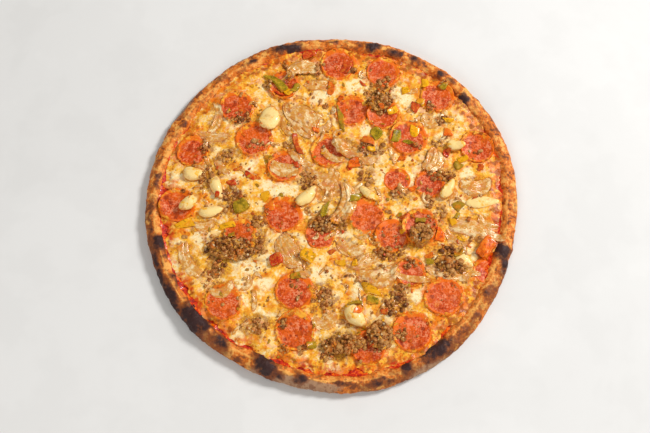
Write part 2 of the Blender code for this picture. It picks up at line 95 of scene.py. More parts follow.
# Charred places on the rim, those low on the left outer wall partly painted shade: picture x and y,
# half length and half width, the turn of the length and how dark it is
CHARS_AND_WALL_SHADE = (
    (288, 49, 18, 6, 8, 1.0), (373, 47, 9, 5, 0, 1.0), (395, 53, 9, 4, -12, 0.8),
    (414, 60, 6, 5, -25, 0.65), (333, 41, 8, 3, 0, 0.5), (358, 46, 4, 4, 0, 0.4),
    (440, 75, 6, 4, -30, 0.85), (450, 81, 8, 3, -35, 0.55), (463, 99, 7, 7, -45, 1.0),
    (253, 61, 6, 4, 25, 0.65), (222, 79, 9, 4, 35, 0.5), (266, 68, 3, 3, 0, 0.7),
    (199, 101, 4, 3, 45, 0.4), (204, 110, 3, 3, 0, 0.7), (184, 125, 6, 4, 55, 0.65),
    (172, 137, 6, 3, 60, 0.4), (160, 155, 6, 3, 62, 0.4), (157, 180, 11, 5, 80, 0.55),
    (151, 217, 22, 4, 90, 0.55), (159, 243, 9, 8, 90, 0.9), (167, 255, 4, 4, 0, 0.65),
    (176, 279, 7, 5, -65, 0.85), (196, 318, 19, 13, -50, 1.2), (221, 341, 9, 6, -35, 0.8),
    (237, 344, 3, 3, 0, 0.6), (266, 362, 14, 10, -70, 1.2), (279, 375, 6, 4, -25, 0.8),
    (302, 379, 8, 5, 0, 0.85), (345, 385, 10, 4, 0, 0.6), (350, 366, 3, 2, 0, 0.6),
    (363, 371, 3, 2, 0, 0.6), (380, 382, 20, 5, 6, 0.6), (408, 367, 8, 8, 20, 0.8),
    (436, 351, 19, 8, 32, 1.0), (487, 291, 9, 7, 55, 0.5), (475, 317, 9, 5, 45, 0.4),
    (494, 302, 9, 4, 60, 0.3), (455, 342, 9, 4, 40, 0.4),
    # Painted shade: these marks on the lower-left outer wall stand partly for real char and partly for
    # the shade on that wall
    (156, 262, 22, 4, -72, 0.7), (170, 292, 18, 5, -58, 0.85), (151, 235, 14, 3, 80, 0.5),
    (168, 300, 18, 7, -58, 1.2), (186, 326, 16, 7, -48, 1.2), (158, 278, 13, 5, -68, 1.0),
    (502, 250, 8, 9, 80, 1.2), (504, 266, 9, 5, 80, 1.0), (497, 130, 4, 4, 0, 0.5),
    (147, 222, 12, 3, 88, 0.5), (465, 330, 12, 4, 45, 0.35), (507, 290, 12, 4, 75, 0.35),
)

# Floury places on the outer wall, and where the sauce shows: picture x and y, half length and
# half width, the turn of the length and the strength
FLOURED = (
    (310, 388, 26, 8, 4, 1.2), (428, 373, 22, 7, 30, 1.0), (215, 354, 18, 5, -35, 0.3),
    (285, 382, 16, 6, 14, 0.9), (250, 374, 12, 5, 20, 0.6), (445, 68, 22, 4, -35, 0.8),
    (490, 112, 26, 4, -55, 0.8), (240, 62, 24, 4, 28, 0.5), (183, 112, 22, 4, 48, 0.5),
    (345, 37, 30, 3, 0, 0.5),
)
SAUCE_PATCHES = (
    (163, 200, 20, 6, 80, 1.0), (168, 232, 12, 6, -75, 1.0), (185, 285, 10, 7, -60, 1.0),
    (198, 303, 9, 6, -50, 0.9), (222, 333, 9, 5, -40, 0.9), (248, 352, 10, 5, -25, 0.9),
    (282, 360, 9, 4, -10, 0.7), (304, 366, 8, 3, -5, 0.7), (331, 374, 12, 4, 0, 0.9),
    (357, 371, 8, 4, 5, 0.9), (391, 364, 8, 3, 10, 0.7), (443, 334, 8, 4, 35, 0.8),
    (372, 56, 13, 5, -10, 0.9), (309, 57, 10, 5, 10, 0.8), (499, 228, 12, 5, 88, 0.9),
    (500, 190, 16, 4, 88, 0.8), (486, 262, 9, 6, 70, 0.8),
)

# Sauce
SAUCE_STEPS = 640
SAUCE_INNER = 60 * MM
SAUCE_WIDTH = 110 * MM
SAUCE_RINGS = 34

# Cheese
CHEESE_SPACING = 1.05 * MM
CHEESE_HALF_WIDTH = 172 * MM
CHEESE_REACH = 5 * MM
CHEESE_BUBBLES = 70
BUBBLE_REACH = 158 * MM
TOPPING_GAP = 0.25 * MM
CREAMY = (
    (262, 230, 12), (250, 266, 10), (320, 278, 14), (352, 86, 9), (205, 240, 11), (395, 95, 10),
    (466, 176, 8), (345, 240, 12), (318, 98, 10), (272, 112, 9), (378, 152, 8), (270, 188, 9),
    (300, 240, 7), (416, 300, 8), (356, 290, 9), (205, 140, 8), (265, 285, 8), (440, 140, 7),
    (280, 190, 14), (293, 193, 9), (376, 160, 8), (312, 274, 8), (352, 244, 8), (200, 234, 6),
    (462, 118, 7), (330, 300, 9), (240, 285, 8), (430, 222, 6), (365, 130, 7), (404, 100, 8),
    (248, 286, 9), (243, 302, 8), (216, 196, 6),
)

# Pepperoni
SLICE_STEPS = 72

# Extra slices that show in part: picture x and y, radius
PART_SLICES = ((397, 181, 13), (320, 236, 14.5), (485, 271, 12.5))

# Garlic cloves that aren't nodes: picture x and y, length, width, height, turn
EXTRA_CLOVES = ((319, 208, 24, 8, 4, 20), (482, 203, 34, 12, 4, 4), (464, 262, 20, 13, 5, -30))

# Onion: picture x and y, length, width, turn, and the bend of its middle line
PETALS = (
    (289, 252, 38, 22, -60, 1), (378, 276, 42, 19, 10, 4), (303, 121, 40, 21, -42, -4),
    (343, 206, 44, 17, 70, 5), (347, 150, 34, 13, -28, 3), (469, 231, 40, 19, -24, -3),
    (432, 162, 27, 19, 62, 2), (303, 72, 34, 15, 8, -3), (475, 187, 32, 17, 4, 3),
)
THIN_PETALS = (
    (309, 116, 26, 15, -24, 2), (285, 170, 30, 15, -10, 2), (330, 181, 24, 13, 60, 2),
    (412, 279, 34, 7, -8, 1), (446, 275, 42, 8, -14, 1), (492, 235, 26, 8, -32, 1),
    (290, 76, 26, 8, 55, 2), (317, 86, 28, 10, 5, 1), (216, 120, 34, 9, 80, 3),
    (214, 137, 32, 9, -5, 2), (190, 262, 38, 12, -60, 3), (222, 290, 26, 10, 20, 4),
    (325, 322, 24, 14, 15, 2), (430, 122, 20, 13, -20, 2),
    (205, 226, 20, 9, 10, 2), (222, 166, 25, 8, -60, 2), (353, 192, 24, 9, 30, 2),
    (487, 224, 22, 8, -30, 2), (360, 264, 28, 9, 8, 2), (325, 128, 18, 8, 40, 2),
    (300, 160, 30, 7, -35, 2), (320, 175, 30, 8, -15, 2), (332, 157, 26, 8, -32, 2),
    (336, 190, 18, 8, 80, 2), (328, 197, 14, 9, 70, 1), (350, 248, 30, 13, -20, 3),
    (292, 118, 34, 7, -58, 2), (299, 129, 32, 6, -50, 2), (286, 129, 26, 6, -60, 1),
    (300, 268, 26, 9, -62, 2), (456, 240, 26, 8, -30, 2), (366, 160, 22, 9, -15, 2),
)

# Crumbled sausage: picture x and y, half length, half width, and the number of crumbs
CRUMB_PATCHES = (
    (240, 119, 13, 5, 22), (227, 158, 8, 8, 18), (205, 152, 7, 9, 14), (207, 178, 8, 10, 22),
    (232, 200, 11, 15, 36), (256, 225, 12, 8, 26), (232, 249, 26, 12, 85), (216, 266, 11, 12, 30),
    (257, 246, 8, 12, 22), (380, 103, 13, 13, 55), (383, 86, 13, 5, 18), (370, 149, 18, 6, 34),
    (317, 72, 4, 5, 8), (285, 66, 5, 5, 8), (306, 181, 10, 8, 20), (366, 179, 8, 7, 16),
    (328, 225, 19, 9, 46), (442, 177, 14, 6, 34), (400, 195, 9, 5, 16), (430, 202, 5, 6, 12),
    (440, 214, 6, 8, 14), (420, 236, 12, 12, 52), (388, 254, 15, 7, 30), (410, 264, 7, 5, 14),
    (450, 252, 14, 5, 22), (450, 269, 16, 9, 44), (397, 301, 12, 17, 55), (323, 298, 12, 12, 38),
    (379, 337, 14, 15, 60), (343, 346, 23, 11, 62), (326, 357, 6, 5, 8), (256, 326, 13, 8, 26),
    (284, 350, 5, 5, 8), (303, 349, 5, 5, 8), (282, 322, 6, 7, 12), (401, 335, 6, 8, 16),
    (436, 145, 6, 5, 12), (444, 122, 8, 4, 14), (431, 108, 6, 5, 10), (258, 146, 7, 5, 9),
    (353, 73, 4, 4, 6), (326, 108, 4, 4, 6), (290, 145, 6, 5, 9), (268, 87, 5, 5, 8),
    (443, 86, 5, 5, 8), (415, 147, 6, 5, 8), (478, 153, 5, 3, 4), (293, 288, 4, 4, 4),
)
CRUMB_RADII = (0.8 * MM, 2.5 * MM)
CRUMB_SHARE = 1.3
FINE_CRUMB = 1.15 * MM

# Bits scattered at random: how many, and in the picture their middle and how far they go from it
LOOSE_CRUMBS = 260
LOOSE_ONION = 80
LOOSE_DICE = 36
SCATTER_MIDDLE = (332, 217)
SCATTER_RADIUS = 152

# Diced pepper: picture x and y, length, width, turn
DICE = {
    "red": (
        (346, 68, 14, 9, 62), (309, 55, 13, 8, 12), (363, 84, 12, 3, -38), (415, 108, 10, 9, -35),
        (446, 154, 7, 6, 50), (349, 169, 6, 5, 20), (480, 168, 6, 6, 0), (231, 184, 8, 7, 10),
        (218, 196, 5, 4, 0), (331, 253, 7, 5, 30), (299, 147, 22, 5, -62), (404, 219, 7, 5, 20),
        (252, 177, 12, 4, -30), (238, 170, 9, 4, 20), (384, 312, 6, 5, 0), (296, 166, 6, 5, 0),
        (437, 231, 5, 4, 80), (486, 256, 10, 5, -40), (283, 95, 12, 4, -20),
    ),
    "orange": (
        (330, 89, 18, 6, 82), (366, 141, 12, 7, -12), (447, 133, 8, 7, 0), (439, 235, 12, 8, 80),
        (358, 312, 8, 6, 0), (401, 159, 7, 6, 0), (316, 131, 8, 5, -10), (270, 208, 12, 7, 10),
        (429, 257, 8, 6, 30), (412, 190, 7, 5, 20), (340, 100, 7, 5, 40),
        (381, 110, 6, 5, 0), (354, 165, 12, 10, 20),
    ),
    "yellow": (
        (391, 112, 13, 6, 24), (405, 90, 9, 9, 15), (424, 84, 9, 8, 0), (420, 104, 9, 7, -30),
        (414, 133, 11, 9, 70), (462, 160, 9, 6, 15), (452, 222, 8, 7, 20), (371, 150, 7, 6, 0),
        (371, 291, 18, 8, -20), (228, 227, 14, 6, 10), (265, 197, 10, 8, 30), (340, 263, 8, 6, 0),
        (354, 264, 6, 6, 0), (185, 225, 14, 9, 20), (449, 121, 9, 4, 15), (285, 91, 14, 6, -38),
        (402, 233, 5, 4, 0), (460, 240, 9, 4, -20),
    ),
    "green": (
        (276, 84, 24, 7, -36), (294, 91, 12, 6, 60), (376, 134, 13, 9, -52), (341, 121, 25, 6, 95),
        (268, 160, 8, 7, 20), (443, 89, 9, 7, 60), (458, 207, 10, 8, 40), (396, 138, 10, 8, 80),
        (407, 144, 9, 4, -25), (356, 199, 8, 7, 0), (421, 222, 10, 5, 0), (295, 276, 9, 7, 20),
        (312, 345, 8, 6, 0), (355, 304, 12, 4, 10), (372, 302, 10, 8, -10), (325, 212, 14, 6, 80),
        (458, 254, 12, 5, 25), (430, 262, 8, 5, 0), (457, 216, 8, 4, 60), (232, 236, 8, 5, 20),
        (457, 167, 9, 7, -30), (281, 196, 5, 4, 0), (399, 216, 7, 4, 60),
    ),
}


def screen(red, green, blue):
    """A linear colour from the 0 to 255 values that a screen shows."""
    shares = (value / 255 for value in (red, green, blue))
    return tuple(v / 12.92 if v <= 0.04045 else ((v + 0.055) / 1.055) ** 2.4 for v in shares)


def colour(name, description, *values):
    return FloatVectorProperty(name=name, description=description, subtype="COLOR", size=3,
                               min=0, max=1, default=screen(*values))


def length(name, description, default):
    return FloatProperty(name=name, description=description, unit="LENGTH", subtype="DISTANCE",
                         min=0, precision=4, default=default)


class PizzaSizes(PropertyGroup):
    dough_lumps: length("Dough lumps", "Height of the lumps on the rim", 0.8 * MM)
    dough_pores: length("Dough pores", "Height of the fine bumps on the rim", 0.16 * MM)
    cheese_rise: length("Cheese rise", "Height of the open cheese over its own base", 1.35 * MM)
    cheese_lumps: length("Cheese lumps", "Height of the lumps in the melted cheese", 0.75 * MM)
    sauce_thickness: length("Sauce thickness", "Thickness of the sauce inside the rim", 0.7 * MM)
    slice_thickness: length("Slice thickness", "Thickness of a pepperoni slice", 1.8 * MM)
    onion_thickness: length("Onion thickness", "Thickness of a layer of onion", 0.7 * MM)
    dice_height: length("Dice height", "Height of the diced pepper", 3.4 * MM)
    loose_crumbs: IntProperty(name="Loose crumbs", description="Single crumbs scattered over the pizza",
                              min=0, default=LOOSE_CRUMBS)


class PizzaColours(PropertyGroup):
    crust_golden: colour("Golden crust", "The rim where it is least baked", 246, 175, 86)
    crust_orange: colour("Orange crust", "Most of the rim", 216, 115, 32)
    # Brown crust also paints the shade on the outer wall away from the light
    crust_brown: colour("Brown crust", "The rim where it is well baked", 122, 64, 32)
    # Char also paints the shade on the lower-left outer wall
    crust_char_and_shade: colour("Char", "The burnt blisters", 48, 30, 32)
    crust_flour: colour("Flour", "Flour baked onto the outer wall", 172, 132, 100)
    sauce_red: colour("Sauce", "Thick tomato sauce", 206, 44, 12)
    sauce_deep: colour("Deep sauce", "Sauce that has baked dark", 150, 26, 8)
    cheese_cream: colour("Cream cheese", "The palest cheese", 255, 237, 186)
    cheese_yellow: colour("Yellow cheese", "Most of the cheese", 250, 184, 56)
    cheese_oil: colour("Oily cheese", "Cheese soaked with orange oil", 222, 106, 12)
    cheese_olive: colour("Olive cheese", "Cheese stained by herbs and juice", 176, 112, 34)
    # Toasted cheese also paints the shade at the foot of the diced pepper
    cheese_toast: colour("Toasted cheese", "The browned spots", 150, 66, 10)
    pepperoni_red: colour("Pepperoni", "Most of a slice", 212, 74, 12)
    pepperoni_fat: colour("Pepperoni fat", "The pink flecks of fat", 242, 152, 106)
    pepperoni_edge: colour("Pepperoni edge", "The bright edge and the oily glow", 243, 112, 0)
    pepperoni_dark: colour("Dark pepperoni", "The baked flecks of a slice", 138, 40, 8)
    garlic_ivory: colour("Garlic", "Roasted garlic", 250, 216, 140)
    # Toasted garlic also paints the shade on the underside of each clove
    garlic_toast: colour("Toasted garlic", "Where a clove has browned", 204, 134, 48)
    onion_pale: colour("Pale onion", "The clearest onion", 250, 226, 172)
    onion_flesh: colour("Onion", "Soft cooked onion", 218, 152, 58)
    onion_pink: colour("Pink onion", "Onion that shows pink", 210, 138, 88)
    # Onion amber also paints the shade at the foot of each layer of onion
    onion_amber: colour("Amber onion", "The edges and lines of the onion", 184, 104, 34)
    # Tan and dark sausage also paint the light on the lumps and the shade in the dents of the heaps
    sausage_tan: colour("Tan sausage", "The palest crumbs of sausage", 210, 158, 90)
    sausage_brown: colour("Sausage", "The crumbs of sausage", 168, 90, 28)
    sausage_dark: colour("Dark sausage", "Crumbs that have browned", 72, 33, 15)
    pepper_red: colour("Red pepper", "Diced red pepper", 206, 28, 6)
    pepper_orange: colour("Orange pepper", "Diced orange pepper", 238, 96, 4)
    pepper_yellow: colour("Yellow pepper", "Diced yellow pepper", 248, 176, 0)
    pepper_green: colour("Green pepper", "Diced green pepper", 158, 132, 8)


# Places


def on_pizza(x, y, level=TOPPING_LEVEL):
    """The point at this height that the picture shows at pixel x, y."""
    across = (x - PICTURE_MIDDLE[0]) / PIXELS_AT_UNIT_DEPTH
    up = (PICTURE_MIDDLE[1] - y) / PIXELS_AT_UNIT_DEPTH
    sine, cosine = math.sin(VIEW_ELEVATION), math.cos(VIEW_ELEVATION)
    depth = VIEW_DISTANCE - level * sine
    forward = (up * depth - level * cosine) / (sine - up * cosine)
    sideways = across * (depth + forward * cosine)
    return Vector((VIEW_TARGET[0] + sideways, VIEW_TARGET[1] + forward, level))


def polar(point):
    return math.atan2(point.y, point.x), math.hypot(point.x, point.y)


def heading(angle):
    """The level direction at this angle."""
    return Vector((math.cos(angle), math.sin(angle), 0))


def ring(reach):
    """The steps to a middle point and to six points round it."""
    angles = [k * math.tau / 6 for k in range(6)]
    return [(0, 0)] + [(reach * math.cos(angle), reach * math.sin(angle)) for angle in angles]


def smooth_step(value):
    value = min(max(value, 0.0), 1.0)
    return value * value * (3 - 2 * value)


def ripple(x, y, z):
    """Smooth noise from about -1 to 1."""
    return noise.noise(Vector((x, y, z)))


def wave(point, size, seed=0):
    """Smooth noise whose lumps have this size in millimetres."""
    size *= MM
    return ripple(point.x / size, point.y / size, point.z / size + seed)


class Patches:
    """Oval places on the pizza, each with its strength."""

    def __init__(self, rows, level):
        self.cells = {}
        for x, y, half_length, half_width, turn, strength in rows:
            middle = on_pizza(x, y, level)
            turn = math.radians(turn)
            oval = (middle.x, middle.y, math.cos(turn), math.sin(turn),
                    half_length * MM, half_width * MM, strength)
            reach = int(half_length * MM * 2.2 / CELL) + 1
            column, row = int(middle.x // CELL), int(middle.y // CELL)
            for i in range(column - reach, column + reach + 1):
                for j in range(row - reach, row + reach + 1):
                    self.cells.setdefault((i, j), []).append(oval)

    def at(self, x, y):
        """How strongly the patches cover this place."""
        best = 0.0
        for oval in self.cells.get((int(x // CELL), int(y // CELL)), ()):
            middle_x, middle_y, cosine, sine, half_length, half_width, strength = oval
            dx, dy = x - middle_x, y - middle_y
            along = (dx * cosine + dy * sine) / half_length
            across = (dy * cosine - dx * sine) / half_width
            away = along * along + across * across
            if away < 5:
                best = max(best, strength * math.exp(-0.9 * away))
        return best


def anywhere(draw):
    """A picture x and y somewhere on the cheese."""
    angle, away = draw.uniform(0, math.tau), SCATTER_RADIUS * math.sqrt(draw.random())
    return SCATTER_MIDDLE[0] + away * math.cos(angle), SCATTER_MIDDLE[1] + away * math.sin(angle)


def tree_of(*meshes):
    """One tree of these meshes, in which rays find their surface."""
    shape = bmesh.new()
    for mesh in meshes:
        shape.from_mesh(mesh)
    tree = BVHTree.FromBMesh(shape)
    shape.free()
    return tree


def from_above(tree, x, y):
    """The first point that a ray down at x, y hits, or None."""
    return tree.ray_cast(Vector((x, y, SKY)), DOWN)[0]


class Ground:
    """Surfaces that other pieces lie on, looked up from above."""

    def __init__(self):
        self.trees = []

    def add(self, piece):
        self.trees.append(tree_of(piece.data))

    def top(self, x, y):
        hits = (from_above(tree, x, y) for tree in self.trees)
        return max((hit.z for hit in hits if hit is not None), default=0.0)

    def top_round(self, x, y, reach):
        """The highest surface over x, y and a ring of points round it."""
        return max(self.top(x + dx, y + dy) for dx, dy in ring(reach))


laid = Ground()


def cad_tree(*names):
    return tree_of(*(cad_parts[name].data for name in names))


def cad_names(kind):
    return sorted(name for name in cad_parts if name.startswith(kind))


def cad_copy(name, cuts=0):
    """A CAD node as a shape that can be worked on, with its edges cut this often."""
    shape = bmesh.new()
    shape.from_mesh(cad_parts[name].data)
    bmesh.ops.remove_doubles(shape, verts=shape.verts, dist=WELD)
    if cuts:
        bmesh.ops.subdivide_edges(shape, edges=shape.edges, cuts=cuts, use_grid_fill=True)
    return shape


def node_top(tree, x, y):
    """The top of a tree at x, y, or the height of its nearest point past its edge."""
    hit = from_above(tree, x, y)
    if hit is None:
        hit = tree.find_nearest(Vector((x, y, CORE_HEIGHT)))[0]
    return hit.z


# Shapes


def spun(profile, steps):
    """A closed body turned round Z from (radius, height) points, with a fan of faces over both ends."""
    shape = bmesh.new()
    verts = [shape.verts.new((radius, 0, height)) for radius, height in profile]
    edges = [shape.edges.new(pair) for pair in zip(verts, verts[1:])]
    bmesh.ops.spin(shape, geom=verts + edges, cent=(0, 0, 0), axis=(0, 0, 1),
                   angle=math.tau, steps=steps, use_merge=True)
    open_edges = [edge for edge in shape.edges if edge.is_boundary]
    caps = bmesh.ops.holes_fill(shape, edges=open_edges, sides=0)["faces"]
    bmesh.ops.poke(shape, faces=caps)
    return shape


def join(shape, part):
    """Adds one shape to another, with its painted values, and frees it."""
    mesh = bpy.data.meshes.new("part")
    part.to_mesh(mesh)
    part.free()
    shape.from_mesh(mesh)
    bpy.data.meshes.remove(mesh)


def join_all(parts):
    """All the parts as one shape, joined two by two."""
    while len(parts) > 1:
        for first, second in zip(parts[::2], parts[1::2]):
            join(first, second)
        parts = parts[::2]
    return parts[0]


def values(shape, *names):
    """New values that can be painted on the points of a shape."""
    return [shape.verts.layers.float.new(name) for name in names]


def painted(*names):
    """An empty shape with these values on its points."""
    shape = bmesh.new()
    values(shape, *names)
    return shape


def settle(shape, times, factor=0.5, heights_only=False):
    flat = not heights_only
    for _ in range(times):
        bmesh.ops.smooth_vert(shape, verts=shape.verts, factor=factor,
                              use_axis_x=flat, use_axis_y=flat, use_axis_z=True)


def finished(name, shape, material, nodes):
    """Makes the shape the piece that stands for these CAD nodes."""
    bmesh.ops.recalc_face_normals(shape, faces=shape.faces)
    mesh = bpy.data.meshes.new(name)
    shape.to_mesh(mesh)
    shape.free()
    mesh.materials.append(material)
    mesh.shade_smooth()
    mesh.set_sharp_from_angle(angle=SMOOTH_ANGLE)
    piece = bpy.data.objects.new(name, mesh)
    bpy.context.scene.collection.objects.link(piece)
    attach(piece, "root")
    if nodes:
        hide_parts(*nodes)
    laid.add(piece)
    return piece


# Materials


class Nodes:
    """The nodes of one material or group, added and linked by short calls."""

    def __init__(self, tree):
        self.tree = tree

    def add(self, kind, inputs=None, **settings):
        node = self.tree.nodes.new("ShaderNode" + kind)
        for name, value in settings.items():
            setattr(node, name, value)
        for key, value in (inputs or {}).items():
            self.feed(node.inputs[key], value)
        return node

    def feed(self, socket, value):
        if isinstance(value, bpy.types.NodeSocket):
            self.tree.links.new(value, socket)
        elif socket.type == "RGBA":
            socket.default_value = (*value[:3], 1)
        else:
            socket.default_value = value

    def maths(self, operation, first, second):
        return self.add("Math", {0: first, 1: second}, operation=operation).outputs[0]

    def scaled(self, value, factor):
        return self.maths("MULTIPLY", value, factor)

    def mix(self, share, first, second):
        return self.add("Mix", {0: share, 6: first, 7: second}, data_type="RGBA").outputs[2]

    def span(self, value, low, high, new_low=0.0, new_high=1.0):
        inputs = {"Value": value, "From Min": low, "From Max": high, "To Min": new_low,
                  "To Max": new_high}
        return self.add("MapRange", inputs, interpolation_type="SMOOTHSTEP").outputs[0]

    def noise(self, vector, scale, detail=3.0, roughness=0.55, distortion=0.0):
        inputs = {"Vector": vector, "Scale": scale, "Detail": detail, "Roughness": roughness,
                  "Distortion": distortion}
        return self.add("TexNoise", inputs).outputs[0]


def new_group(name, inputs, outputs):
    """An empty node group with these sockets: its nodes, its inputs and its output node."""
    tree = bpy.data.node_groups.new(name, "ShaderNodeTree")
    for sockets, in_out in ((inputs, "INPUT"), (outputs, "OUTPUT")):
        for label, kind in sockets.items():
            tree.interface.new_socket(name=label, in_out=in_out, socket_type="NodeSocket" + kind)
    entry = tree.nodes.new("NodeGroupInput")
    leave = tree.nodes.new("NodeGroupOutput")
    return Nodes(tree), entry.outputs, leave.inputs


def make_mottle_group():
    """Three colours in soft patches, broken up by finer ones."""
    inputs = {"Vector": "Vector", "Scale": "Float", "Pale": "Color", "Middle": "Color", "Deep": "Color"}
    nodes, given, out = new_group("Mottle", inputs, {"Color": "Color"})
    coarse = nodes.noise(given["Vector"], given["Scale"], 4.0, 0.6, 0.4)
    fine = nodes.noise(given["Vector"], nodes.scaled(given["Scale"], 3.3), 3.0)
    both = nodes.maths("ADD", nodes.scaled(coarse, 0.62), nodes.scaled(fine, 0.38))
    pale_to_middle = nodes.mix(nodes.span(both, 0.42, 0.5), given["Pale"], given["Middle"])
    nodes.feed(out["Color"], nodes.mix(nodes.span(both, 0.52, 0.6), pale_to_middle, given["Deep"]))


def make_spots_group():
    """Round spots of uneven size, of which only a share show."""
    inputs = {"Vector": "Vector", "Scale": "Float", "Size": "Float", "Share": "Float"}
    nodes, given, out = new_group("Spots", inputs, {"Mask": "Float"})
    cells = nodes.add("TexVoronoi", {"Vector": given["Vector"], "Scale": given["Scale"]})
    chance = nodes.add("SeparateColor", {0: cells.outputs["Color"]})
    shown = nodes.maths("LESS_THAN", chance.outputs[0], given["Share"])
    size = nodes.scaled(given["Size"], nodes.span(chance.outputs[1], 0, 1, 0.45, 1.0))
    wobble = nodes.noise(given["Vector"], nodes.scaled(given["Scale"], 3), 2.0)
    away = nodes.maths("ADD", cells.outputs["Distance"], nodes.scaled(wobble, 0.25))
    inside = nodes.maths("SUBTRACT", size, away)
    nodes.feed(out["Mask"], nodes.scaled(nodes.span(inside, -0.25, 0.05), shown))


def make_ragged_group():
    """A painted mask with its soft edge broken up."""
    inputs = {"Vector": "Vector", "Mask": "Float", "Scale": "Float", "Ragged": "Float"}
    nodes, given, out = new_group("Ragged edge", inputs, {"Mask": "Float"})
    break_up = nodes.maths("SUBTRACT", nodes.noise(given["Vector"], given["Scale"], 5.0, 0.65), 0.5)
    shifted = nodes.maths("ADD", given["Mask"], nodes.scaled(break_up, given["Ragged"]))
    nodes.feed(out["Mask"], nodes.span(shifted, 0.25, 0.7))


def make_relief_group():
    """Fine lumps, with a wetter and a drier finish between them."""
    inputs = {"Vector": "Vector", "Scale": "Float", "Wet": "Float", "Dry": "Float"}
    nodes, given, out = new_group("Fine relief", inputs, {"Height": "Float", "Roughness": "Float"})
    nodes.feed(out["Height"], nodes.noise(given["Vector"], given["Scale"], 5.0, 0.6))
    pools = nodes.noise(given["Vector"], nodes.scaled(given["Scale"], 0.4), 3.0)
    finish = nodes.add("MapRange", {"Value": pools, "From Min": 0.35, "From Max": 0.65,
                                    "To Min": given["Wet"], "To Max": given["Dry"]})
    nodes.feed(out["Roughness"], finish.outputs[0])


def make_film_group():
    """Thin patches of melted cheese over a topping."""
    inputs = {"Vector": "Vector", "Color": "Color", "Cream": "Color", "Oil": "Color", "Cover": "Float"}
    nodes, given, out = new_group("Cheese film", inputs, {"Color": "Color"})
    patch = nodes.noise(given["Vector"], 95, 5.0, 0.68, 0.3)
    lifted = nodes.maths("ADD", patch, given["Cover"])
    oily = nodes.mix(nodes.span(lifted, 0.6, 0.72, 0.0, 0.6), given["Color"], given["Oil"])
    nodes.feed(out["Color"], nodes.mix(nodes.span(lifted, 0.68, 0.8, 0.0, 0.8), oily, given["Cream"]))


class Surface(Nodes):
    """The nodes of one material, whose patterns all lie on the object's own coordinates."""

    def __init__(self, name):
        self.material = bpy.data.materials.new(name)
        self.material.use_nodes = True
        super().__init__(self.material.node_tree)
        self.shader = self.tree.nodes["Principled BSDF"]
        self.where = self.add("TexCoord").outputs["Object"]

    def painted(self, name):
        return self.add("Attribute", attribute_name=name).outputs["Fac"]

    def effect(self, name, **inputs):
        """The outputs of a shared node group with these inputs."""
        node = self.tree.nodes.new("ShaderNodeGroup")
        node.node_tree = bpy.data.node_groups[name]
        for key, value in inputs.items():
            self.feed(node.inputs[key], value)
        self.feed(node.inputs["Vector"], self.where)
        return node.outputs

    def mottled(self, scale, pale, middle, deep):
        return self.effect("Mottle", Scale=scale, Pale=pale, Middle=middle, Deep=deep)["Color"]

    def patches(self, scale, detail, roughness, low, high, most):
        """A soft mask that is up to this much where the noise is high."""
        return self.span(self.noise(self.where, scale, detail, roughness), low, high, 0.0, most)

    def over(self, base, mask, share, colour):
        """The colour over the base, where the mask is and at this share of it."""
        return self.mix(self.scaled(mask, share), base, colour)

    def ragged(self, mask, scale, amount):
        return self.effect("Ragged edge", Mask=mask, Scale=scale, Ragged=amount)["Mask"]

    def stained(self, base, name, scale, amount, share, colour):
        """The colour over the base where the points are painted with this value."""
        return self.over(base, self.ragged(self.painted(name), scale, amount), share, colour)

    def speckled(self, base, scale, size, shown, share, colour):
        """Spots of the colour over the base."""
        spots = self.effect("Spots", Scale=scale, Size=size, Share=shown)["Mask"]
        return self.over(base, spots, share, colour)

    def filmed(self, base, colours, cover):
        """Patches of cheese and oil over the base."""
        return self.effect("Cheese film", Color=base, Cream=colours.cheese_yellow,
                           Oil=colours.cheese_oil, Cover=cover)["Color"]

    def finish(self, base, scale, wet, dry, depth, specular=SPECULAR):
        """Feeds the colour, and a fine relief with this depth, to the shader."""
        relief = self.effect("Fine relief", Scale=scale, Wet=wet, Dry=dry)
        bump = self.add("Bump", {"Strength": 1.0, "Distance": depth, "Height": relief["Height"]})
        self.feed(self.shader.inputs["Base Color"], base)
        self.feed(self.shader.inputs["Roughness"], relief["Roughness"])
        self.feed(self.shader.inputs["Normal"], bump.outputs[0])
        self.shader.inputs["Specular IOR Level"].default_value = specular
        return self.material

    def glaze(self):
        """A thin wet coat."""
        self.shader.inputs["Coat Weight"].default_value = 0.15
        self.shader.inputs["Coat Roughness"].default_value = 0.1


def crust_material(colours):
    surface = Surface("baked_crust")
    dough = surface.mottled(95, colours.crust_golden, colours.crust_orange, colours.crust_brown)
    # Brown where painted: well-baked dough, and painted shade on the outer wall away from the light
    dough = surface.stained(dough, "brown", 260, 0.9, 0.75, colours.crust_brown)
    dough = surface.stained(dough, "lip", 240, 0.9, 0.85, colours.crust_golden)
    dough = surface.stained(dough, "flour", 420, 0.8, 0.95, colours.crust_flour)
    baked = surface.mottled(110, colours.crust_golden, colours.cheese_oil, colours.cheese_toast)
    dough = surface.stained(dough, "oil", 300, 0.7, 0.75, baked)
    dough = surface.speckled(dough, 150, 0.5, 0.35, 0.5, colours.crust_brown)
    dough = surface.speckled(dough, 420, 0.55, 0.4, 0.45, colours.crust_brown)
    # The char marks: real char, and on the lower-left outer wall also painted shade
    char_and_shade = surface.painted("char_and_shade")
    scorched_and_shaded = surface.ragged(surface.scaled(char_and_shade, 1.35), 220, 1.1)
    dough = surface.over(dough, scorched_and_shaded, 0.8, colours.crust_brown)
    burnt = surface.ragged(surface.maths("SUBTRACT", char_and_shade, 0.1), 300, 1.1)
    dough = surface.over(dough, burnt, 0.93, colours.crust_char_and_shade)
    return surface.finish(dough, 650, 0.4, 0.7, 0.7 * MM)


def sauce_material(colours):
    surface = Surface("tomato_sauce")
    base = surface.mottled(180, colours.pepperoni_edge, colours.sauce_red, colours.sauce_deep)
    surface.glaze()
    return surface.finish(base, 700, 0.2, 0.45, 0.3 * MM)


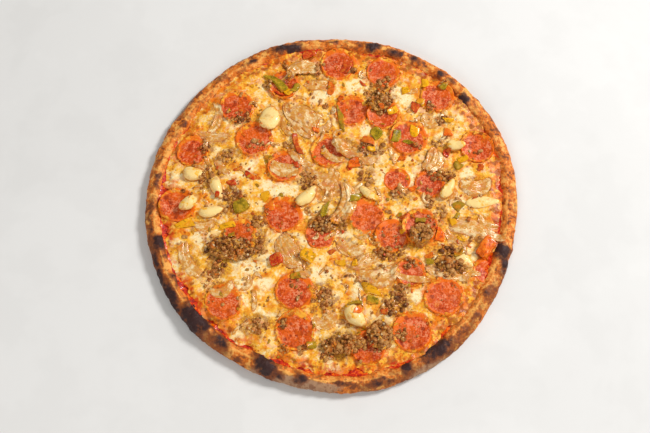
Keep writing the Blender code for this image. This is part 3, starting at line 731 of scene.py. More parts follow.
def cheese_material(colours):
    surface = Surface("melted_cheese")
    tones = (colours.cheese_cream, colours.cheese_yellow, colours.cheese_oil)
    base = surface.mix(0.45, surface.mottled(60, *tones), surface.mottled(115, *tones))
    puddles = surface.mottled(260, colours.cheese_cream, colours.cheese_cream, colours.cheese_yellow)
    base = surface.stained(base, "cream", 240, 1.0, 0.85, puddles)
    juice = surface.mottled(240, colours.cheese_yellow, colours.cheese_olive, colours.cheese_toast)
    base = surface.stained(base, "stain", 260, 1.1, 0.75, juice)
    oily = surface.mottled(150, colours.cheese_yellow, colours.cheese_oil, colours.pepperoni_edge)
    base = surface.stained(base, "oil", 280, 1.2, 0.8, oily)
    base = surface.stained(base, "toast", 500, 1.0, 0.75, colours.cheese_toast)
    base = surface.stained(base, "sauce", 300, 1.2, 0.85, colours.sauce_red)
    base = surface.speckled(base, 150, 0.5, 0.25, 0.45, colours.cheese_oil)
    base = surface.speckled(base, 330, 0.45, 0.16, 0.7, colours.cheese_toast)
    return surface.finish(base, 260, 0.16, 0.42, 0.8 * MM)


def pepperoni_material(colours):
    surface = Surface("pepperoni")
    base = surface.mottled(200, colours.pepperoni_fat, colours.pepperoni_red, colours.pepperoni_dark)
    base = surface.mix(0.25, base, colours.pepperoni_red)
    base = surface.speckled(base, 420, 0.5, 0.45, 0.5, colours.pepperoni_fat)
    base = surface.mix(surface.patches(50, 4.0, 0.6, 0.45, 0.62, 0.4), base, colours.pepperoni_edge)
    base = surface.speckled(base, 520, 0.5, 0.35, 0.5, colours.pepperoni_dark)
    base = surface.mix(surface.patches(75, 5.0, 0.65, 0.52, 0.66, 0.45), base, colours.pepperoni_dark)
    base = surface.stained(base, "edge", 300, 0.9, 0.85, colours.pepperoni_edge)
    cover = surface.scaled(surface.maths("ADD", surface.painted("edge"), 0.3), 0.14)
    base = surface.filmed(base, colours, cover)
    base = surface.speckled(base, 200, 0.5, 0.25, 0.7, colours.pepperoni_dark)
    return surface.finish(base, 600, 0.22, 0.5, 0.5 * MM)


def garlic_material(colours):
    surface = Surface("roasted_garlic")
    base = surface.mottled(110, colours.garlic_ivory, colours.garlic_ivory, colours.cheese_yellow)
    # Toasted where painted: browned patches, and painted shade on the underside of each clove
    base = surface.stained(base, "toast", 250, 0.8, 0.85, colours.garlic_toast)
    base = surface.speckled(base, 120, 0.3, 0.15, 0.5, colours.cheese_toast)
    base = surface.filmed(base, colours, surface.scaled(surface.painted("toast"), 0.15))
    surface.glaze()
    return surface.finish(base, 400, 0.25, 0.45, 0.5 * MM)


def onion_material(colours):
    surface = Surface("cooked_onion")
    base = surface.mottled(80, colours.onion_pale, colours.onion_flesh, colours.onion_pink)
    fine = surface.mottled(170, colours.onion_pale, colours.onion_flesh, colours.cheese_oil)
    base = surface.mix(0.4, base, fine)
    # Amber where painted: the onion's fine veins, and painted shade at the foot of each layer
    base = surface.over(base, surface.painted("vein_and_step_shade"), 0.35, colours.onion_amber)
    base = surface.stained(base, "edge", 300, 0.9, 0.3, colours.onion_amber)
    base = surface.speckled(base, 160, 0.35, 0.12, 0.6, colours.cheese_toast)
    base = surface.filmed(base, colours, surface.scaled(surface.painted("edge"), 0.16))
    return surface.finish(base, 500, 0.1, 0.25, 0.4 * MM, specular=0.5)


def sausage_material(colours):
    surface = Surface("crumbled_sausage")
    base = surface.mottled(380, colours.sausage_tan, colours.sausage_brown, colours.sausage_dark)
    soaked = surface.mottled(300, colours.cheese_yellow, colours.cheese_olive, colours.sausage_brown)
    base = surface.over(base, surface.painted("core"), 0.75, soaked)
    tone = surface.painted("tone")
    # Dark where the tone is high and tan where it is low: the crumbs' own browning, and on the heaps
    # painted shade in the dents and painted light on the lumps
    base = surface.mix(surface.span(tone, 0.3, 1.0, 0.0, 0.85), base, colours.sausage_dark)
    base = surface.mix(surface.span(tone, 0.0, 0.3, 0.5, 0.0), base, colours.sausage_tan)
    base = surface.mix(surface.patches(160, 4.0, 0.6, 0.5, 0.6, 0.4), base, colours.cheese_olive)
    base = surface.filmed(base, colours, 0.04)
    base = surface.speckled(base, 330, 0.45, 0.16, 0.55, colours.cheese_cream)
    return surface.finish(base, 900, 0.25, 0.55, 0.6 * MM)


def pepper_material(name, flesh, colours):
    surface = Surface(name)
    deep = tuple(value * 0.5 for value in flesh)
    pale = tuple(0.65 * value + 0.35 * other for value, other in zip(flesh, colours.cheese_yellow))
    base = surface.mottled(230, pale, flesh, deep)
    base = surface.over(base, surface.painted("tone"), 0.6, colours.cheese_olive)
    base = surface.filmed(base, colours, 0.06)
    # Toasted where painted: painted shade at the foot of each bit
    base = surface.stained(base, "edge", 500, 0.8, 0.35, colours.cheese_toast)
    surface.glaze()
    return surface.finish(base, 500, 0.15, 0.35, 0.15 * MM)


# Pieces


class PizzaPiece:
    """What the operators that add the pieces share."""

    def execute(self, context):
        self.build(context.scene.pizza_sizes, context.scene.pizza_colours)
        return {"FINISHED"}


class AddCrust(PizzaPiece, Operator):
    """Bakes the dough: a raised rim with lumps, blisters and charred places, and painted shade on its
    outer wall
    """

    bl_idname = "pizza.add_crust"
    bl_label = "Crust"

    def build(self, sizes, colours):
        shape = self.wrap(self.smooth_cad())
        settle(shape, 8)
        self.bake(shape, sizes)
        finished("crust_dough", shape, crust_material(colours), ["crust"])

    def smooth_cad(self):
        """The CAD crust with its facets rounded off, to wrap the fine mesh on."""
        shape = cad_copy("crust", 1)
        settle(shape, 2, 0.3)
        tree = BVHTree.FromBMesh(shape)
        shape.free()
        return tree

    def wrap(self, tree):
        """A ring of rays from inside the rim to its surface, all the way round."""
        rim = []
        for step in range(RIM_STEPS + 1):
            turn = math.radians(-105 + 280 * step / RIM_STEPS)
            radius = RIM_RADIUS + RIM_HALF_WIDTH * math.cos(turn)
            rim.append((radius, CORE_HEIGHT + RIM_HALF_WIDTH * math.sin(turn)))
        under = [(radius * MM, 0.0) for radius in (20, 80, 130, 155)]
        over = [(radius * MM, BASE_TOP) for radius in (155, 130, 80, 20)]
        shape = spun(under + rim + over, CRUST_STEPS)
        outline = {}
        for vert in shape.verts:
            angle, radius = polar(vert.co)
            if radius < RIM_RADIUS - 1.5 * RIM_HALF_WIDTH:
                continue
            key = round(angle * 2000)
            direction = heading(angle)
            if key not in outline:
                start = direction * FAR_OUT + UP * 5 * MM
                outline[key] = tree.ray_cast(start, -direction)[0].xy.length
            core = direction * (outline[key] - CORE_INSET) + UP * CORE_HEIGHT
            turn = math.atan2(vert.co.z - CORE_HEIGHT, radius - RIM_RADIUS)
            aim = direction * math.cos(turn) + UP * math.sin(turn)
            hit = tree.ray_cast(core, aim)[0]
            if hit is None:
                raise RuntimeError("the crust can't be wrapped: a ray missed the CAD rim")
            vert.co = hit
        return shape

    def bake(self, shape, sizes):
        """Moves the points out by lumps, bubbles and pits, and paints how each is baked and the painted
        shade on the outer wall.
        """
        char_and_shade, brown, flour, oil, lip = values(shape, "char_and_shade", "brown", "flour", "oil", "lip")
        # Char marks, which on the lower-left outer wall also paint shade
        burnt = Patches(CHARS_AND_WALL_SHADE, RIM_LEVEL)
        floured = Patches(FLOURED, CORE_HEIGHT)
        sauced = Patches(SAUCE_PATCHES, TOPPING_LEVEL)
        bmesh.ops.recalc_face_normals(shape, faces=shape.faces)
        shape.normal_update()
        moves = []
        for vert in shape.verts:
            place = vert.co
            angle, radius = polar(place)
            if radius < 150 * MM:
                moves.append(Vector((0, 0, 0)))
                continue
            stray_x, stray_y = (3.0 * MM * wave(place, 8, seed) for seed in (61, 67))
            soot_and_shade = burnt.at(place.x + stray_x, place.y + stray_y) * (1 + 0.5 * wave(place, 5, 71))
            outward = vert.normal.xy.dot(place.xy.normalized())
            lumps = (wave(place, 9) + wave(place, 3.4, 3) * 0.6) * sizes.dough_lumps
            pores = wave(place, 1.5, 7) * sizes.dough_pores
            bubbles = max(wave(place, 5, 13) - 0.25, 0) * 1.6 * sizes.dough_lumps
            crackle = abs(wave(place, 2.4, 17)) * 1.2 * MM * min(soot_and_shade, 1)
            creases = -max(0.12 - abs(wave(place, 13, 23)), 0) * 4 * sizes.dough_lumps
            share = min(max(place.z / (3 * MM), 0), 1)
            bulge = 1.5 * MM * smooth_step((math.cos(angle + 0.6) - 0.85) / 0.15) * smooth_step(outward)
            burns = crackle + soot_and_shade * 0.9 * MM
            lift = bulge + lumps + pores + bubbles + creases + burns - 0.1 * MM
            moves.append(vert.normal * lift * share)
            vert[char_and_shade] = min(soot_and_shade, 1.2)
            low_wall = smooth_step((7 * MM - place.z) / (6 * MM)) * smooth_step(outward * 1.5)
            # Painted shade: the outer wall is browner towards the lower left, away from the light, and
            # paler towards the upper right; the rest is baking, and browner towards the foot of the
            # wall
            baked = 0.45 * math.cos(angle - math.radians(245)) * smooth_step(outward + 0.4)
            baked += 0.2 + 0.5 * wave(place, 26, 31) + 0.4 * low_wall + 0.3 * soot_and_shade
            vert[brown] = min(baked, 1)
            powder = floured.at(place.x, place.y)
            vert[flour] = 1.3 * powder * smooth_step(outward * 1.6 + 0.2)
            vert[flour] += 0.12 * low_wall * (wave(place, 20, 5) + 0.4)
            crest = smooth_step(1 - abs(outward + 0.3) / 0.7) * (1 - min(soot_and_shade * 1.4, 1))
            pale_side = 0.85 - 0.5 * math.cos(angle - math.radians(50))
            vert[lip] = crest * (pale_side + 0.7 * wave(place, 16, 51))
            vert[brown] -= 0.4 * crest
            inner = smooth_step(0.1 - outward * 3.5)
            vert[oil] = inner * (0.7 + 0.5 * wave(place, 12, 41))
            vert[oil] += 0.3 * sauced.at(place.x, place.y)
        for vert, move in zip(shape.verts, moves):
            vert.co += move
            vert.co.z = max(vert.co.z, 0.0)


class AddSauce(PizzaPiece, Operator):
    """Spreads the tomato sauce, which shows between the cheese and the rim"""

    bl_idname = "pizza.add_sauce"
    bl_label = "Sauce"

    def build(self, sizes, colours):
        thick = sizes.sauce_thickness
        rings = [k / SAUCE_RINGS for k in range(SAUCE_RINGS + 1)]
        over = [(SAUCE_INNER + share * SAUCE_WIDTH, 1.0) for share in reversed(rings)]
        under = [(150 * MM, 0.0), (SAUCE_INNER + SAUCE_WIDTH, 0.0)]
        shape = spun([(SAUCE_INNER, 0.0)] + under + over, SAUCE_STEPS)
        crust = laid.trees[0]
        rim = rim_radii(cad_tree("sauce"))
        patches = Patches(SAUCE_PATCHES, TOPPING_LEVEL)
        for vert in shape.verts:
            angle, radius = polar(vert.co)
            direction = heading(angle)
            edge = direction * rim(angle)
            here = patches.at(edge.x * 0.97, edge.y * 0.97)
            wander = 1.6 * MM * wave(edge, 9) + 0.8 * MM * wave(edge, 3, 5) + 2.0 * MM * here
            full = rim(angle) + 1.6 * MM + wander
            share = (radius - SAUCE_INNER) / SAUCE_WIDTH
            new_radius = SAUCE_INNER + share * (full - SAUCE_INNER)
            place = direction * new_radius
            floor = from_above(crust, place.x, place.y).z
            taper = smooth_step((full - new_radius) / (2.5 * MM))
            if vert.co.z > 0.5:
                relief = 0.35 * wave(place, 6, 3) + 0.3 * wave(place, 2.2, 9)
                height = thick * (0.25 + taper * (1 + relief)) * (1 if share < 1 else 0.2)
            else:
                height = -0.6 * MM
            vert.co = (place.x, place.y, floor + height)
        finished("sauce_layer", shape, sauce_material(colours), ["sauce"])


def rim_radii(tree):
    """A function that gives how far out a CAD layer reaches at an angle."""
    count = 240
    radii = []
    for step in range(count):
        direction = heading(math.tau * step / count)
        reach = 0.0
        for level in range(2, 15):
            hit = tree.ray_cast(direction * FAR_OUT + UP * level * 0.7 * MM, -direction)[0]
            if hit is not None:
                reach = max(reach, hit.xy.length)
        radii.append(reach)

    def radius(angle):
        place = (angle / math.tau * count) % count
        first = int(place)
        share = place - first
        return radii[first % count] * (1 - share) + radii[(first + 1) % count] * share

    return radius


class AddCheese(PizzaPiece, Operator):
    """Melts the cheese over the sauce and round the toppings"""

    bl_idname = "pizza.add_cheese"
    bl_label = "Cheese"

    def build(self, sizes, colours):
        self.slices = [slice_place(name) for name in cad_names("pepperoni")]
        self.near_slices = KDTree(len(self.slices))
        for index, (middle, radius) in enumerate(self.slices):
            self.near_slices.insert((middle.x, middle.y, 0), index)
        self.near_slices.balance()
        cheese = cad_tree("cheese")
        self.limit = self.outline(cheese)
        shape = self.sheet()
        self.levels(shape, cheese)
        settle(shape, 14, 0.5, True)
        self.melt(shape, sizes)
        self.close(shape)
        finished("cheese_melt", shape, cheese_material(colours), ["cheese"])

    def outline(self, cheese):
        """How far out the cheese flows at each place: ragged, and back from where the sauce shows."""
        rim = rim_radii(cheese)
        patches = Patches(SAUCE_PATCHES, TOPPING_LEVEL)

        def limit(angle):
            edge = heading(angle) * rim(angle)
            back = 5.5 * patches.at(edge.x, edge.y) * (1 + 1.2 * wave(edge, 6, 15))
            out = 5.8 + 2.6 * wave(edge, 8) + 1.4 * wave(edge, 3, 4) - back
            return rim(angle) + out * MM

        return limit

    def sheet(self):
        """A fine flat grid trimmed to the outline."""
        count = round(2 * CHEESE_HALF_WIDTH / CHEESE_SPACING)
        shape = bmesh.new()
        bmesh.ops.create_grid(shape, x_segments=count, y_segments=count, size=CHEESE_HALF_WIDTH)
        outside = []
        for vert in shape.verts:
            angle, radius = polar(vert.co)
            if radius > 140 * MM and radius > self.limit(angle):
                outside.append(vert)
        bmesh.ops.delete(shape, geom=outside, context="VERTS")
        loose = [vert for vert in shape.verts if len(vert.link_faces) < 2]
        bmesh.ops.delete(shape, geom=loose, context="VERTS")
        for vert in shape.verts:
            if vert.is_boundary:
                angle, _ = polar(vert.co)
                vert.co = heading(angle) * self.limit(angle)
        return shape

    def levels(self, shape, cheese):
        """Sets each point to the CAD cheese's own surface, without the bits that lie on it."""
        steps = ring(CHEESE_REACH)
        for vert in shape.verts:
            hits = (from_above(cheese, vert.co.x + dx, vert.co.y + dy) for dx, dy in steps)
            heights = [hit.z for hit in hits if hit is not None]
            level = sorted(heights)[len(heights) // 2] if heights else 0
            if vert.co.xy.length > 150 * MM:
                level = max(level if len(heights) > 4 else 0, laid.top(vert.co.x, vert.co.y) + 0.7 * MM)
            vert.co.z = level

    def slice_edge(self, x, y):
        """How far outside the nearest pepperoni slice this place is; below zero inside one."""
        nearest = 1.0
        for _, index, distance in self.near_slices.find_n((x, y, 0), 4):
            nearest = min(nearest, distance - self.slices[index][1])
        return nearest

    def melt(self, shape, sizes):
        """Raises the open cheese round the toppings, lets some flow over slices, and paints it."""
        oil, cream, toast, stain, red = values(shape, "oil", "cream", "toast", "stain", "sauce")
        juices = [(x, y, half_length + 5, half_width + 5, 0, min(count / 14, 1.1))
                  for x, y, half_length, half_width, count in CRUMB_PATCHES]
        juices += [(x, y, length / 2 + 5, width / 2 + 5, turn, 1.0)
                   for x, y, length, width, turn, _ in (*PETALS, *THIN_PETALS)]
        stained = Patches(juices, TOPPING_LEVEL)
        kinds = ("pepperoni", "garlic", "onion", "sausage", "pepper_")
        toppings = cad_tree(*(name for kind in kinds for name in cad_names(kind)))
        creamy = Patches([(x, y, size, size, 0, 1.0) for x, y, size in CREAMY], TOPPING_LEVEL)
        sauced = Patches(SAUCE_PATCHES, TOPPING_LEVEL)
        draw = random.Random(SEED)
        bubbles = KDTree(CHEESE_BUBBLES)
        bubble_sizes = []
        for index in range(CHEESE_BUBBLES):
            angle, away = draw.uniform(0, math.tau), BUBBLE_REACH * math.sqrt(draw.random())
            bubbles.insert((away * math.cos(angle), away * math.sin(angle), 0), index)
            bubble_sizes.append(draw.uniform(2.2, 4.5) * MM)
        bubbles.balance()
        for vert in shape.verts:
            place = vert.co.copy()
            angle, radius = polar(place)
            from_edge = self.limit(angle) - radius
            base = place.z
            flat = Vector((place.x, place.y, 0))
            lumps = 0.7 * wave(flat, 11) + 0.5 * wave(flat, 5, 3)
            lumps += 0.18 * wave(flat, 2.2, 6)
            _, index, distance = bubbles.find(flat)
            dome = max(1 - (distance / bubble_sizes[index]) ** 2, 0)
            rise = sizes.cheese_rise * (1 + 0.35 * wave(flat, 20, 9))
            height = base + rise + lumps * sizes.cheese_lumps + 0.55 * MM * dome
            height = base + (height - base) * smooth_step(from_edge / (7 * MM))
            over = toppings.ray_cast(place - UP * 1.5 * MM, UP)[0]
            edge = self.slice_edge(place.x, place.y)
            flowing = wave(flat, 7, 21) + 0.5 * wave(flat, 3, 25)
            if over is not None:
                if flowing > -0.05 and -5.5 * MM * min(flowing + 0.25, 1) < edge < 0.6 * MM:
                    height = from_above(toppings, place.x, place.y).z + TOPPING_GAP
                else:
                    height = min(base + 1.2 * MM, over.z - TOPPING_GAP)
            else:
                away = toppings.find_nearest(place)[3]
                height += 0.9 * MM * smooth_step(1 - away / (3.5 * MM)) * (0.7 + wave(flat, 6, 29))
            vert.co.z = height
            near = math.exp(-max(edge, 0) / (4.5 * MM))
            rim = smooth_step((19 * MM - from_edge) / (16 * MM))
            rim *= 1.0 + 0.5 * math.cos(angle - 0.35) + 0.7 * wave(flat, 7, 61)
            patch = wave(flat, 14, 33)
            vert[stain] = stained.at(place.x, place.y) * (0.85 + 0.9 * wave(flat, 8, 53))
            here = sauced.at(place.x, place.y)
            vert[red] = 0.9 * here * (0.6 + 0.9 * wave(flat, 5, 81))
            vert[red] += 0.25 * rim * (wave(flat, 6, 85) + 0.3)
            vert[oil] = 0.72 * near + 0.9 * rim + 0.3 * patch - 0.1 + 0.4 * here
            vert[cream] = creamy.at(place.x, place.y) + 0.45 * wave(flat, 12, 37)
            vert[cream] -= 0.25 * near + 0.3 * vert[stain] + 0.6 * rim
            vert[toast] = 0.55 * dome * max(wave(flat, 30, 45) + 0.4, 0)
            vert[toast] += 0.9 * rim * (1.3 * wave(flat, 5, 71) + 0.42)

    def close(self, shape):
        """Gives the sheet a wall down into the sauce and a flat underside."""
        layers = ((0.0, 1.2 * MM), (3.0 * MM, 3.0 * MM))
        edges = [edge for edge in shape.edges if edge.is_boundary]
        for inset, drop in layers:
            made = bmesh.ops.extrude_edge_only(shape, edges=edges)["geom"]
            edges = [item for item in made if isinstance(item, bmesh.types.BMEdge)]
            for vert in (item for item in made if isinstance(item, bmesh.types.BMVert)):
                direction = vert.co.xy.normalized()
                vert.co.x -= direction.x * inset
                vert.co.y -= direction.y * inset
                vert.co.z = max(vert.co.z - drop, BASE_TOP) if not inset else BASE_TOP
        bmesh.ops.holes_fill(shape, edges=edges, sides=0)


def slice_place(name):
    """A CAD slice's middle and radius."""
    low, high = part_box(name)
    return (low + high) / 2, (high.x - low.x + high.y - low.y) / 4


class AddPepperoni(PizzaPiece, Operator):
    """Lays the pepperoni slices: mottled, oily, with an uneven edge"""

    bl_idname = "pizza.add_pepperoni"
    bl_label = "Pepperoni"

    def build(self, sizes, colours):
        thickness = sizes.slice_thickness
        names = cad_names("pepperoni")
        shape = painted("edge")
        for number, name in enumerate(names):
            middle, radius = slice_place(name)
            tree = cad_tree(name)
            join(shape, self.one(number, middle, radius, thickness, lambda x, y: node_top(tree, x, y)))
        for number, (x, y, radius) in enumerate(PART_SLICES, len(names)):
            middle = on_pizza(x, y)
            cheese = laid.trees[-1]
            top = lambda x, y: node_top(cheese, x, y) + 0.5 * MM
            join(shape, self.one(number, middle, radius * MM, thickness, top))
        finished("pepperoni_slices", shape, pepperoni_material(colours), names)

    def one(self, number, middle, radius, thickness, top):
        shares = (0.97, 0.92, 0.86, 0.79, 0.71, 0.62, 0.52, 0.41, 0.29, 0.16, 0.05)
        over = [(share * radius, 1.0) for share in shares]
        side = [(0.985 * radius, 0.06), (radius, 0.3), (radius, 0.7), (0.99 * radius, 0.93)]
        under = [(share * radius, 0.0) for share in (0.05, 0.4, 0.7, 0.95)]
        shape = spun(under + side + over, SLICE_STEPS)
        edge, = values(shape, "edge")
        for vert in shape.verts:
            angle, away = polar(vert.co)
            share = away / radius
            uneven = 1 + 0.018 * math.sin(2 * angle + number) + 0.012 * math.sin(5 * angle + 2 * number)
            uneven += 0.055 * ripple(2.6 * math.cos(angle), 2.6 * math.sin(angle), number)
            x = middle.x + away * uneven * math.cos(angle)
            y = middle.y + away * uneven * math.sin(angle)
            crinkle = share ** 4 * 0.35 * MM * math.sin((6 + number % 4) * angle + number)
            place = Vector((x, y, number))
            relief = (0.28 * wave(place, 4.5) + 0.16 * wave(place, 1.6, 5)) * MM
            groove = 0.3 * smooth_step(1 - abs(share - 0.8) / 0.1)
            lip = (0.25 * smooth_step((share - 0.86) / 0.1) - groove) * MM
            level = vert.co.z
            bump = (relief + lip) * level
            upper = 0.2 * max(math.sin(angle + 0.6 * math.sin(number)), 0)
            vert[edge] = smooth_step((share - 0.8 + upper) / 0.17)
            vert.co = (x, y, top(x, y) - thickness * (1 - level) + crinkle + bump)
        settle(shape, 3, 0.4, True)
        return shape


class AddOnion(PizzaPiece, Operator):
    """Lays the soft pieces of onion, in layers with fine lines and painted shade at the foot of each
    layer
    """

    bl_idname = "pizza.add_onion"
    bl_label = "Onion"

    def build(self, sizes, colours):
        thickness = sizes.onion_thickness
        names = cad_names("onion")
        shape = painted("vein_and_step_shade", "edge")
        for number, (name, row) in enumerate(zip(names, PETALS)):
            tree = cad_tree(name)
            top = lambda x, y: node_top(tree, x, y) - thickness
            join(shape, self.one(number, row, thickness, top, 0.95 * MM))
        draw = random.Random(SEED)
        slices = cad_tree(*cad_names("pepperoni"))
        slivers = []
        for _ in range(LOOSE_ONION):
            x, y = anywhere(draw)
            spot = on_pizza(x, y)
            if from_above(slices, spot.x, spot.y) is None:
                long, wide = draw.uniform(8, 22), draw.uniform(2.5, 6)
                slivers.append((x, y, long, wide, draw.uniform(0, 180), draw.uniform(-3, 3)))
        for number, row in enumerate((*THIN_PETALS, *slivers), len(names)):
            top = lambda x, y: laid.top_round(x, y, 1.2 * MM) - 0.2 * MM
            join(shape, self.one(number, row, thickness * 0.8, top, 0.6 * MM))
        finished("onion_pieces", shape, onion_material(colours), names)

    def one(self, number, row, thickness, top, terrace):
        """One piece: a sheet whose surface steps down from layer to layer across it."""
        x, y, length, width, turn, bend = row
        layers = max(round(width / 5.5), 1)
        shape = bmesh.new()
        segments = max(round(length * 0.9), 8), max(round(width * 1.7), 6)
        bmesh.ops.create_grid(shape, x_segments=segments[0], y_segments=segments[1], size=1.0)
        sheet = shape.faces[:]
        vein_and_step_shade, edge = values(shape, "vein_and_step_shade", "edge")
        middle = on_pizza(x, y)
        cosine, sine = math.cos(math.radians(turn)), math.sin(math.radians(turn))
        for vert in shape.verts:
            along, across = vert.co.x, vert.co.y
            blunt = (0.25, 0.5, 0.4, 0.6)[number % 4]
            taper = blunt + (1 - blunt) * math.sqrt(max(1 - abs(along) ** (2.5 + number % 3), 0))
            ragged_edge = 1 + 0.16 * ripple(4 * along, 2 * across, number)
            sideways = (across * width / 2 * taper * ragged_edge + bend * (2 * along * along - 1)) * MM
            forward = along * length / 2 * ragged_edge * MM
            step = (across * 0.5 + 0.5) * layers + 0.25 * ripple(2 * along, 0, number)
            share = step - math.floor(step)
            rib = ripple(1.2 * along, across * width * 0.45, number)
            fine = ripple(1.5 * along, across * width * 1.1, number + 9)
            lift = terrace * share + 0.5 * MM * rib + 0.3 * MM * fine
            curl = 0.8 * MM * ripple(1.5 * along, across, number + 4)
            outer = max(abs(along), abs(across))
            droop = ripple(1.6 * along, 1.6 * across, number + 14) + 0.15
            curl -= smooth_step((outer - 0.6) / 0.4) * 1.6 * MM * max(droop, 0)
            px = middle.x + forward * cosine - sideways * sine
            py = middle.y + forward * sine + sideways * cosine
            # Painted shade at the foot of each layer step; the veins are the onion's own fine lines
            step_foot_shade = smooth_step((0.2 - share) / 0.16)
            veins = smooth_step((fine - 0.05) / 0.35) * 0.6
            vert[vein_and_step_shade] = max(step_foot_shade, veins) if layers > 1 else 0.4
            vert[edge] = smooth_step((outer - 0.78) / 0.2)
            vert.co = (px, py, top(px, py) + lift + curl)
        settle(shape, 2, 0.5, True)
        grown = bmesh.ops.extrude_face_region(shape, geom=sheet)["geom"]
        raised = [item for item in grown if isinstance(item, bmesh.types.BMVert)]
        bmesh.ops.translate(shape, vec=(0, 0, thickness), verts=raised)
        return shape


class AddGarlic(PizzaPiece, Operator):
    """Lays the whole garlic cloves, roasted and a little browned, with painted shade towards their
    undersides
    """

    bl_idname = "pizza.add_garlic"
    bl_label = "Garlic"

    def build(self, sizes, colours):
        names = cad_names("garlic")
        shape = painted("toast")
        for name in names:
            join(shape, self.soften(cad_copy(name)))
        for row in EXTRA_CLOVES:
            join(shape, self.soften(self.clove(*row)))
        finished("garlic_cloves", shape, garlic_material(colours), names)

    def clove(self, x, y, length, width, height, turn):
        """A clove that lies deep in the cheese."""
        shape = bmesh.new()
        bmesh.ops.create_icosphere(shape, subdivisions=3, radius=1.0)
        middle = on_pizza(x, y)
        level = laid.top(middle.x, middle.y)
        spin = Matrix.Rotation(math.radians(turn), 3, "Z")
        for vert in shape.verts:
            along, across, up = vert.co
            taper = 1 - 0.28 * along - 0.12 * along * along
            place = spin @ Vector((along * length / 2, across * width / 2 * taper, 0)) * MM
            rise = UP * (up * 0.6 * taper + 0.1) * height * MM
            vert.co = Vector((middle.x, middle.y, level)) + place + rise
        return shape

    def soften(self, shape):
        """Rounds a clove, lets it shrivel a little, and paints where it has browned and the painted
        shade on its underside.
        """
        low = min(vert.co.z for vert in shape.verts)
        high = max(vert.co.z for vert in shape.verts)
        bmesh.ops.subdivide_edges(shape, edges=shape.edges, cuts=2, use_grid_fill=True, smooth=0.6)
        settle(shape, 3)
        toast, = values(shape, "toast")
        shape.normal_update()
        for vert in shape.verts:
            place = vert.co.copy()
            relief = 0.75 * wave(place, 8) + 0.3 * wave(place, 3, 5)
            share = (place.z - low) / (high - low)
            # Painted shade: browner towards the underside of the clove; the wave below adds browned
            # patches
            vert[toast] = 0.9 * smooth_step((0.75 - share) / 0.55)
            vert[toast] += 0.7 * max(wave(place, 8, 8), 0)
            vert.co = place + vert.normal * relief * MM
        return shape


class AddSausage(PizzaPiece, Operator):
    """Heaps up the crumbled sausage and scatters loose crumbs"""

    bl_idname = "pizza.add_sausage"
    bl_label = "Sausage"

    def build(self, sizes, colours):
        draw = random.Random(SEED)
        shape = painted("tone", "core")
        names = cad_names("sausage")
        for name in names:
            join(shape, self.core(name))
        heaps = cad_tree(*names)
        cloves = cad_tree(*cad_names("garlic"))
        crumbs = []
        rows = list(CRUMB_PATCHES)
        for _ in range(sizes.loose_crumbs):
            rows.append((*anywhere(draw), 3, 3, 0))
        for x, y, half_length, half_width, count in rows:
            dark = draw.uniform(0, 0.45) if count else 0.0
            part = painted("tone", "core")
            for _ in range(round(count * CRUMB_SHARE) or draw.randint(1, 3)):
                angle, away = draw.uniform(0, math.tau), draw.random() ** 0.6
                spot = on_pizza(x + half_length * away * math.cos(angle),
                                y + half_width * away * math.sin(angle))
                size = CRUMB_RADII[0] + (CRUMB_RADII[1] - CRUMB_RADII[0]) * draw.random() ** 1.8
                if not count:
                    size *= 0.75
                    if from_above(cloves, spot.x, spot.y) is not None:
                        continue
                hit = from_above(heaps, spot.x, spot.y)
                ground = laid.top(spot.x, spot.y)
                level = max(ground, hit.z if hit is not None else 0)
                spot.z = level + size * draw.uniform(0.1, 0.5) * (1 if hit is None else 0.3)
                self.crumb(part, draw, spot, size, min(max(dark + draw.uniform(-0.3, 0.5), 0), 1))
            crumbs.append(part)
        join(shape, join_all(crumbs))
        finished("sausage_crumbs", shape, sausage_material(colours), names)

    def core(self, name):
        """The mass of a heap, rough all over, with painted shade in its dents and painted light on its
        lumps.
        """
        part = cad_copy(name, 3)
        tone, core = values(part, "tone", "core")
        part.normal_update()
        for vert in part.verts:
            place = vert.co.copy()
            relief = 0.8 * wave(place, 2.8) + 0.5 * wave(place, 1.4, 5) - 0.2
            vert[core] = 0.8
            # Painted shade and light: the tone is darker in the dents and paler on the lumps, over
            # random browning
            vert[tone] = min(max(0.25 - relief + wave(place, 6, 9), 0), 1)
            vert.co = place + vert.normal * relief * MM
        return part

    def crumb(self, shape, draw, spot, size, dark):
        """One crumb: a ball squeezed out of shape."""
        detail = 2 if size > FINE_CRUMB else 1
        made = bmesh.ops.create_icosphere(shape, subdivisions=detail, radius=size)["verts"]
        stretch = Vector((draw.uniform(0.75, 1.35), draw.uniform(0.75, 1.35), draw.uniform(0.6, 0.9)))
        turn = Matrix.Rotation(draw.uniform(0, math.tau), 3, "Z")
        tone = shape.verts.layers.float["tone"]
        offset = draw.uniform(0, 50)
        for vert in made:
            dent = 1 + 0.38 * noise.noise(vert.co / (size * 0.8) + UP * offset)
            corner = vert.co * dent
            vert.co = spot + turn @ (corner * stretch)
            vert[tone] = dark


